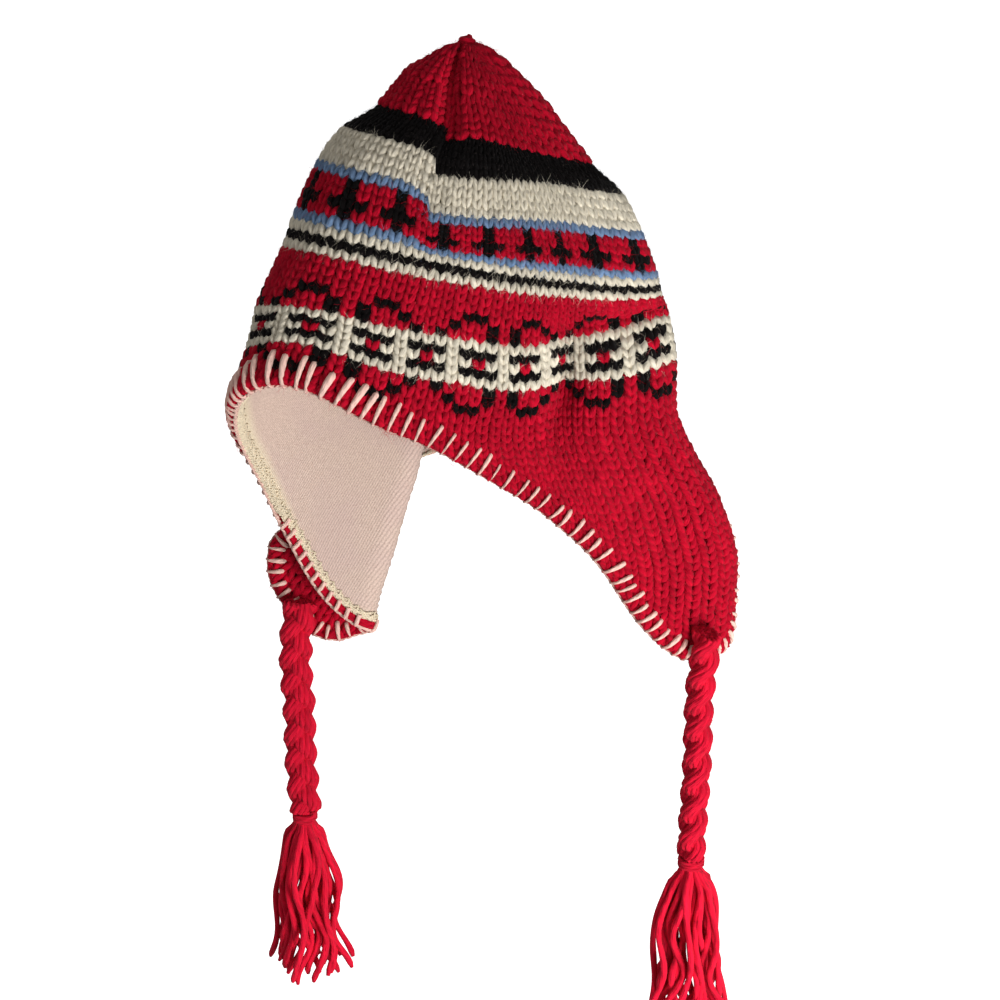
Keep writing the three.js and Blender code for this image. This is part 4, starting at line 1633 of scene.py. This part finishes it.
@dataclass
class EdgeStitching:
    """The blanket stitches round the rim, their purl, the threads inside and the rolled edge under them.

    Depths run from the rim into the cloth and lifts out of its outer face, in millimetres. Bar holds shares
    of a bar's reach from its upper end, under where it goes round the rim.
    """

    rim: RimPath
    finishes: Finishes
    spacing: float = 7.4
    purl: float = 0.612
    purl_more: float = 0.4
    purl_depth: tuple[float, float] = (-1.1, 0.5)
    purl_lift: tuple[float, float] = (-4.0, 0.6)
    roll: float = 1.35
    roll_depth: tuple[float, float] = (0.9, 0.9)
    roll_lift: tuple[float, float] = (-2.0, 0.9)
    red_from: float = 0.4
    red_roll: float = 1.485
    red_depths: tuple[float, float] = (0.6, 2.4)
    red_lift: float = -5.3
    edging: float = 0.7
    edging_stand: float = 0.2
    edging_start: float = -1.0
    edging_power: float = 0.8
    edging_deeper: float = 5.0
    edging_shorter: float = 3.0
    edge_turn: tuple[float, float] = (0.6, 1.6)
    cross_bar: float = 1.35
    cross_from: float = -1.2
    cross_reach: float = 6.0
    cross_slant: float = 0.3
    cross_stand: float = 1.0
    cross_turn: float = 1.5
    uneven_place: float = 0.07
    uneven_reach: float = 0.08
    uneven_radius: float = 0.14
    slant: tuple[float, float] = (0.08, 0.12)
    bar: Table = Table(("depth", "lift", "sway"), (
        (1.08, -0.8, 1.0), (1.0, 1.5, 0.95), (0.8, 2.2, 0.75),
        (0.5, 2.2, 0.5), (0.22, 1.9, 0.3), (0.0, 1.0, 0.12),
    ))
    under: Table = Table(("depth", "lift"), ((-1.4, -0.5), (-1.9, -2.2), (-1.3, -3.8)))
    taper: tuple[float, ...] = (0.75, 1.05, 1.12, 1.0, 0.8, 0.68, 0.6, 0.6, 0.6)
    threads: Table = Table(("reach", "slant", "offset"), (
        (6.5, 0.0, 0.0), (5.0, 0.22, 0.25), (7.5, -0.2, 0.5), (6.0, 0.1, 0.7), (4.0, -0.1, 0.4),
    ))
    seed: int = 11

    def build(self, tree: bpy.types.NodeTree) -> list[bpy.types.Object]:
        """Makes the threads and the rolled edge.

        Args:
            tree: The yarn tree.

        Returns:
            The pieces.
        """
        pieces = [make(YarnSpool(tree)) for make in (self._blanket, self._purl, self._inside, self._roll)]
        for piece in pieces:
            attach(piece, BODY)
        return pieces

    def _places(self) -> tuple[np.ndarray, float]:
        """Even places round the rim and the distance between them."""
        count = round(self.rim.length / (self.spacing * MM))
        return np.arange(count) / count * self.rim.length, self.rim.length / count

    def _bare(self, run: np.ndarray) -> np.ndarray:
        """How far the red edge shows at a distance round the rim."""
        return bare_edge(self.rim.stitch_at(run))

    def _wound(
        self, run: np.ndarray, wave: np.ndarray, depth: tuple[float, float], lift: tuple[float, float],
    ) -> np.ndarray:
        """A yarn that winds along the rim.

        Args:
            run: Metres round the rim.
            wave: The winding's angle at each.
            depth: Its middle depth, and how far it swings from that.
            lift: Its middle lift, and how far it swings from that.

        Returns:
            The points in metres.
        """
        return self.rim.place(run, depth[0] + depth[1] * np.sin(wave), lift[0] + lift[1] * np.cos(wave))

    def _roll(self, spool: YarnSpool) -> bpy.types.Object:
        """Crimson yarns that close the knitting's edge under the bars, with two more where it shows.

        Args:
            spool: An empty spool.

        Returns:
            The piece.
        """
        _, gap = self._places()
        run = self.rim.evenly(1.2)
        for strand in range(3):
            wave = run / gap * 2 * math.pi + strand * 2 * math.pi / 3
            points = self._wound(run, wave, self.roll_depth, self.roll_lift)
            spool.wind(points, self.roll * MM, Wool.CRIMSON.value)
        shown = run[self._bare(run) > self.red_from]
        for depth in self.red_depths:
            points = self.rim.place(shown, depth, self.red_lift)
            spool.wind(points, self.red_roll * MM, Wool.CRIMSON.value)
        return spool.piece("rolled_edge", 7, self.finishes.stitches)

    def _blanket(self, spool: YarnSpool) -> bpy.types.Object:
        """Bars of thread from the purl up over the knitting, longer beside the forehead.

        Args:
            spool: An empty spool.

        Returns:
            The piece.
        """
        random = np.random.default_rng(self.seed)
        run, gap = self._places()
        count = len(run)
        run = run + random.normal(0, self.uneven_place, count) * gap
        stitch = self.rim.stitch_at(run)
        reach = np.interp(stitch, BARS["stitch"], BARS["reach"])
        reach = reach * (1 + self.uneven_reach * random.normal(0, 1, count))
        radius = np.interp(stitch, BARS["stitch"], BARS["radius"])
        radius = radius * (1 + self.uneven_radius * random.normal(0, 1, count))
        slant = gap * random.normal(*self.slant, count)
        sway = slant[:, None] * self.bar["sway"]
        over = self.rim.place(run[:, None] + sway, reach[:, None] * self.bar["depth"], self.bar["lift"][None])
        under = self.rim.place(run[:, None], self.under["depth"][None], self.under["lift"][None])
        girth = radius[:, None] * np.array(self.taper) * MM
        spool.wind(np.concatenate([over, under], axis=1), girth, Wool.STITCHING.value)
        return spool.piece("blanket_stitches", 7, self.finishes.thread)

    def _purl(self, spool: YarnSpool) -> bpy.types.Object:
        """Two plies of thread laid round the rim under the bars.

        Args:
            spool: An empty spool.

        Returns:
            The piece.
        """
        _, gap = self._places()
        run = self.rim.evenly(1.1)
        girth = (self.purl + self.purl_more * self._bare(run)) * MM
        for phase in (0, math.pi):
            wave = run / gap * 2 * math.pi + phase
            points = self._wound(run, wave, self.purl_depth, self.purl_lift)
            spool.wind(points, girth, Wool.STITCHING.value)
        return spool.piece("rim_purl", 7, self.finishes.thread)

    def _inside(self, spool: YarnSpool) -> bpy.types.Object:
        """Thread that crosses the lining's edge in small triangles, and ladders over the bare red.

        Args:
            spool: An empty spool.

        Returns:
            The piece.
        """
        form = self.rim.surface.form
        inside = -form.knit_wall - form.layer_gap - form.lining_wall - self.edging_stand
        run, gap = self._places()
        share = np.linspace(0, 1, 9)
        bend = 1 - np.abs(share * 2 - 1)
        for reach, slant, offset in self.threads.rows:
            along = run[:, None] + gap * (share + slant * bend + offset)
            bare = self._bare(along)
            start = self.edging_start + self.edging_deeper * bare
            depth = start + (reach - self.edging_shorter * bare) * bend**self.edging_power
            turn, rise = self.edge_turn
            lift = inside + np.where(depth < turn, rise * (turn - depth), 0)
            spool.wind(self.rim.place(along, depth, lift), self.edging * MM, Wool.EDGING.value)
        shown = run[self._bare(run) > self.red_from]
        steps = np.linspace(0, 1, 7)
        depth = self.cross_from + self.cross_reach * steps
        lift = inside - self.cross_stand + np.where(depth < 0, self.cross_turn * -depth, 0)
        points = self.rim.place(shown[:, None] + gap * self.cross_slant * steps, depth, lift)
        spool.wind(points, self.cross_bar * MM, Wool.STITCHING.value)
        return spool.piece("lining_edge_threads", 5, self.finishes.thread)


def smooth_route(points: np.ndarray, count: int) -> np.ndarray:
    """A Catmull-Rom curve through given points, evenly spaced.

    Args:
        points: The points to pass.
        count: How many points to give back.

    Returns:
        The evenly spaced points.
    """
    padded = np.concatenate([2 * points[:1] - points[1:2], points, 2 * points[-1:] - points[-2:-1]])
    t = np.linspace(0, 1, 12, endpoint=False)[:, None]
    parts = []
    for a, b, c, d in zip(padded, padded[1:], padded[2:], padded[3:]):
        square, cube = 2 * a - 5 * b + 4 * c - d, 3 * b - a - 3 * c + d
        parts.append(0.5 * (2 * b + (c - a) * t + square * t**2 + cube * t**3))
    line = np.concatenate([*parts, points[-1:]])
    run = np.concatenate([[0], np.cumsum(np.linalg.norm(np.diff(line, axis=0), axis=1))])
    even = np.linspace(0, run[-1], count)
    return np.stack([np.interp(even, run, line[:, axis]) for axis in range(3)], axis=1)


@dataclass
class PlaitAndTassel:
    """One three-strand plait, the tie at its end and the tassel under it, in millimetres."""

    side: str
    route: np.ndarray
    broad: np.ndarray
    finishes: Finishes
    seed: int
    broad_size: float = 20.4
    thick_size: float = 16.5
    pitch: float = 50.0
    yarns: int = 10
    bundle: float = 4.4
    bundle_flat: float = 0.8
    bundle_twist: float = 70.0
    yarn: float = 1.85
    neck: float = 5.2
    neck_length: float = 10.0
    tie_turns: int = 3
    tie_yarn: float = 1.2
    tie_stand: float = 1.35
    tie_length: float = 5.0
    tassel_length: float = 106.0
    shortest: float = 0.9
    golden_angle: float = 2.39996
    tuck: float = 1.6
    head: float = 2.3
    swell_length: float = 10.0
    swell_rise: float = 4.0
    fall_power: float = 0.55
    spread: float = 25.0
    inner_spread: float = 0.3
    uneven_spread: tuple[float, float] = (0.72, 1.02)
    tip: float = 0.985
    tip_girth: float = 0.6
    uneven: float = 0.1
    uneven_dye: float = 0.08
    strands: int = 36
    waves: tuple[tuple[float, float, float], ...] = ((2.6, 8, 15), (3.4, 7, 14))
    # Painted light: the tassels' yarn is the plaits' scarlet made brighter, as if lit more strongly.
    painted_light_gain: float = 1.2
    down_density: float = 200000.0
    down_length: float = 0.005
    joint_gap: float = 0.3

    def build(self, tree: bpy.types.NodeTree, down: WoolDown) -> list[bpy.types.Object]:
        """Args:
            tree: The yarn tree.
            down: The maker of loose fibres.

        Returns:
            The four pieces.
        """
        line = smooth_route(self.route, 91)
        length = float(np.sum(np.linalg.norm(np.diff(line, axis=0), axis=1)))
        end = line[-1] - np.array([0, 0, self.joint_gap * MM])
        plait = self._plait(line, length, YarnSpool(tree))
        tie = self._tie(end, YarnSpool(tree))
        tassel = self._tassel(end, YarnSpool(tree))
        for piece, node in ((plait, "braid"), (tie, "tie"), (tassel, "tassel")):
            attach(piece, BODY)
            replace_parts(piece, f"{node}_{self.side}")
        loose = down.grow(
            f"plait_down_{self.side}", plait.data, self.down_density, self.down_length, self.seed,
        )
        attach(loose, BODY)
        return [plait, tie, tassel, loose]

    def _plait(self, line: np.ndarray, length: float, spool: YarnSpool) -> bpy.types.Object:
        """Three bundles of yarn that cross over each other.

        Args:
            line: The plait's centreline in metres.
            length: Its length in metres.
            spool: An empty spool.

        Returns:
            The piece.
        """
        down = unit(np.gradient(line, axis=0))
        broad = unit(self.broad - down * np.sum(self.broad * down, axis=1, keepdims=True))
        thick = np.cross(down, broad)
        run = np.linspace(0, length, len(line)) / MM
        swing = self.broad_size / 2 - self.bundle - self.yarn
        cross = self.thick_size / 2 - self.bundle * self.bundle_flat - self.yarn
        for strand in range(3):
            phase = 2 * math.pi * (run / self.pitch + strand / 3)
            side, rise = swing * np.sin(phase), cross * np.sin(2 * phase)
            lean = np.arctan2(np.gradient(side, run), 1)
            for index in range(self.yarns):
                turn = 2 * math.pi * (index / (self.yarns - 1) + run / self.bundle_twist)
                out = 0 if index == self.yarns - 1 else self.bundle
                offset_broad = side + out * np.cos(turn) * np.cos(lean)
                offset_thick = rise + out * self.bundle_flat * np.sin(turn)
                points = line + (broad * offset_broad[:, None] + thick * offset_thick[:, None]) * MM
                tint = np.array(Wool.SCARLET.value) * (1 + self.uneven_dye * math.sin(index * 2.3 + strand))
                spool.wind(points, self.yarn * MM, tint)
        return spool.piece(f"plait_{self.side}", 7, self.finishes.plaited)

    def _tie(self, end: np.ndarray, spool: YarnSpool) -> bpy.types.Object:
        """Turns of yarn wound round the neck.

        Args:
            end: The plait's end in metres.
            spool: An empty spool.

        Returns:
            The piece.
        """
        share = np.linspace(0, 1, self.tie_turns * 16 + 1)
        angle = share * self.tie_turns * 2 * math.pi
        radius = self.neck + self.tie_stand
        drop = self.tie_yarn + share * self.tie_length
        points = end + np.stack([radius * np.cos(angle), radius * np.sin(angle), -drop], axis=1) * MM
        spool.wind(points, self.tie_yarn * MM, Wool.SCARLET.value)
        return spool.piece(f"tie_winding_{self.side}", 6, self.finishes.plaited)

    def _tassel(self, end: np.ndarray, spool: YarnSpool) -> bpy.types.Object:
        """Loose yarns that leave the neck, swell into a head and hang in waves, brighter than the plait as
        painted light.

        Args:
            end: The plait's end in metres.
            spool: An empty spool.

        Returns:
            The piece.
        """
        random = np.random.default_rng(self.seed)
        share = np.linspace(0, 1, 34)
        for index in range(self.strands):
            angle = index * self.golden_angle + random.normal(0, self.uneven)
            out = math.sqrt((index + 0.6) / self.strands)
            length = self.tassel_length * (self.shortest + (1 - self.shortest) * random.random())
            drop = share * length
            neck = (self.neck - self.tuck) * out
            head = (self.neck * self.head - self.tuck) * out
            far = self.spread * (self.inner_spread + (1 - self.inner_spread) * out)
            far = far * random.uniform(*self.uneven_spread)
            swell = np.clip((drop - self.neck_length + self.swell_rise) / self.swell_length, 0, 1)
            below = self.neck_length + self.swell_rise
            fall = np.clip((drop - below) / (length - below), 0, 1)
            radius = neck + (head - neck) * swell + (far - head) * fall**self.fall_power
            ripple = random.uniform(0, 6.28, 3)
            wave, sway = (
                size * swell * np.sin(share * random.uniform(slow, quick) + start) * (0.4 + fall)
                for (size, slow, quick), start in zip(self.waves, ripple)
            )
            x = (radius + wave) * math.cos(angle) - sway * math.sin(angle)
            y = (radius + wave) * math.sin(angle) + sway * math.cos(angle)
            points = end + np.stack([x, y, -drop], axis=1) * MM
            girth = self.yarn * MM * (1 + self.uneven * np.sin(share * 23 + ripple[2]))
            girth = girth * np.where(share > self.tip, self.tip_girth, 1.0)
            # Painted light brightens the plaits' scarlet; the rest varies the dye at random.
            tint = np.array(Wool.SCARLET.value) * (self.painted_light_gain + self.uneven * random.normal())
            spool.wind(points, girth, np.clip(tint, 0, 1))
        return spool.piece(f"tassel_yarns_{self.side}", 7, self.finishes.plaited)


def main() -> None:
    """Builds the hat, piece by piece."""
    logging.basicConfig(level=logging.INFO, format="%(message)s")
    finishes = Finishes()
    CameraAndLight().build(finishes.paper)
    surface = KnitSurface(HatForm())
    tree = yarn_tree()
    down = WoolDown(finishes.down)
    turn = math.radians(surface.form.press_turn)
    across = np.array([math.cos(turn), math.sin(turn), 0.0])
    away = np.array([-math.sin(turn), math.cos(turn), 0.0])
    made = []
    for side, route, broad, seed in (
        ("left", LEFT_PLAIT_ROUTE, away, 21),
        ("right", RIGHT_PLAIT_ROUTE, across, 22),
    ):
        centreline = surface.to_hat(np.array(route, dtype=float))
        made += PlaitAndTassel(side, centreline, broad, finishes, seed).build(tree, down)
    knitted = KnittedBody(surface, finishes).build(tree, down)
    lining = Lining(surface, finishes).build()
    rim = RimPath(surface)
    edging = EdgeStitching(rim, finishes).build(tree)
    for piece in (*made, *knitted, lining, *edging):
        triangles = sum(len(polygon.vertices) - 2 for polygon in piece.data.polygons)
        log.info("%s: %d triangles", piece.name, triangles)


if __name__ == "__main__":
    main()
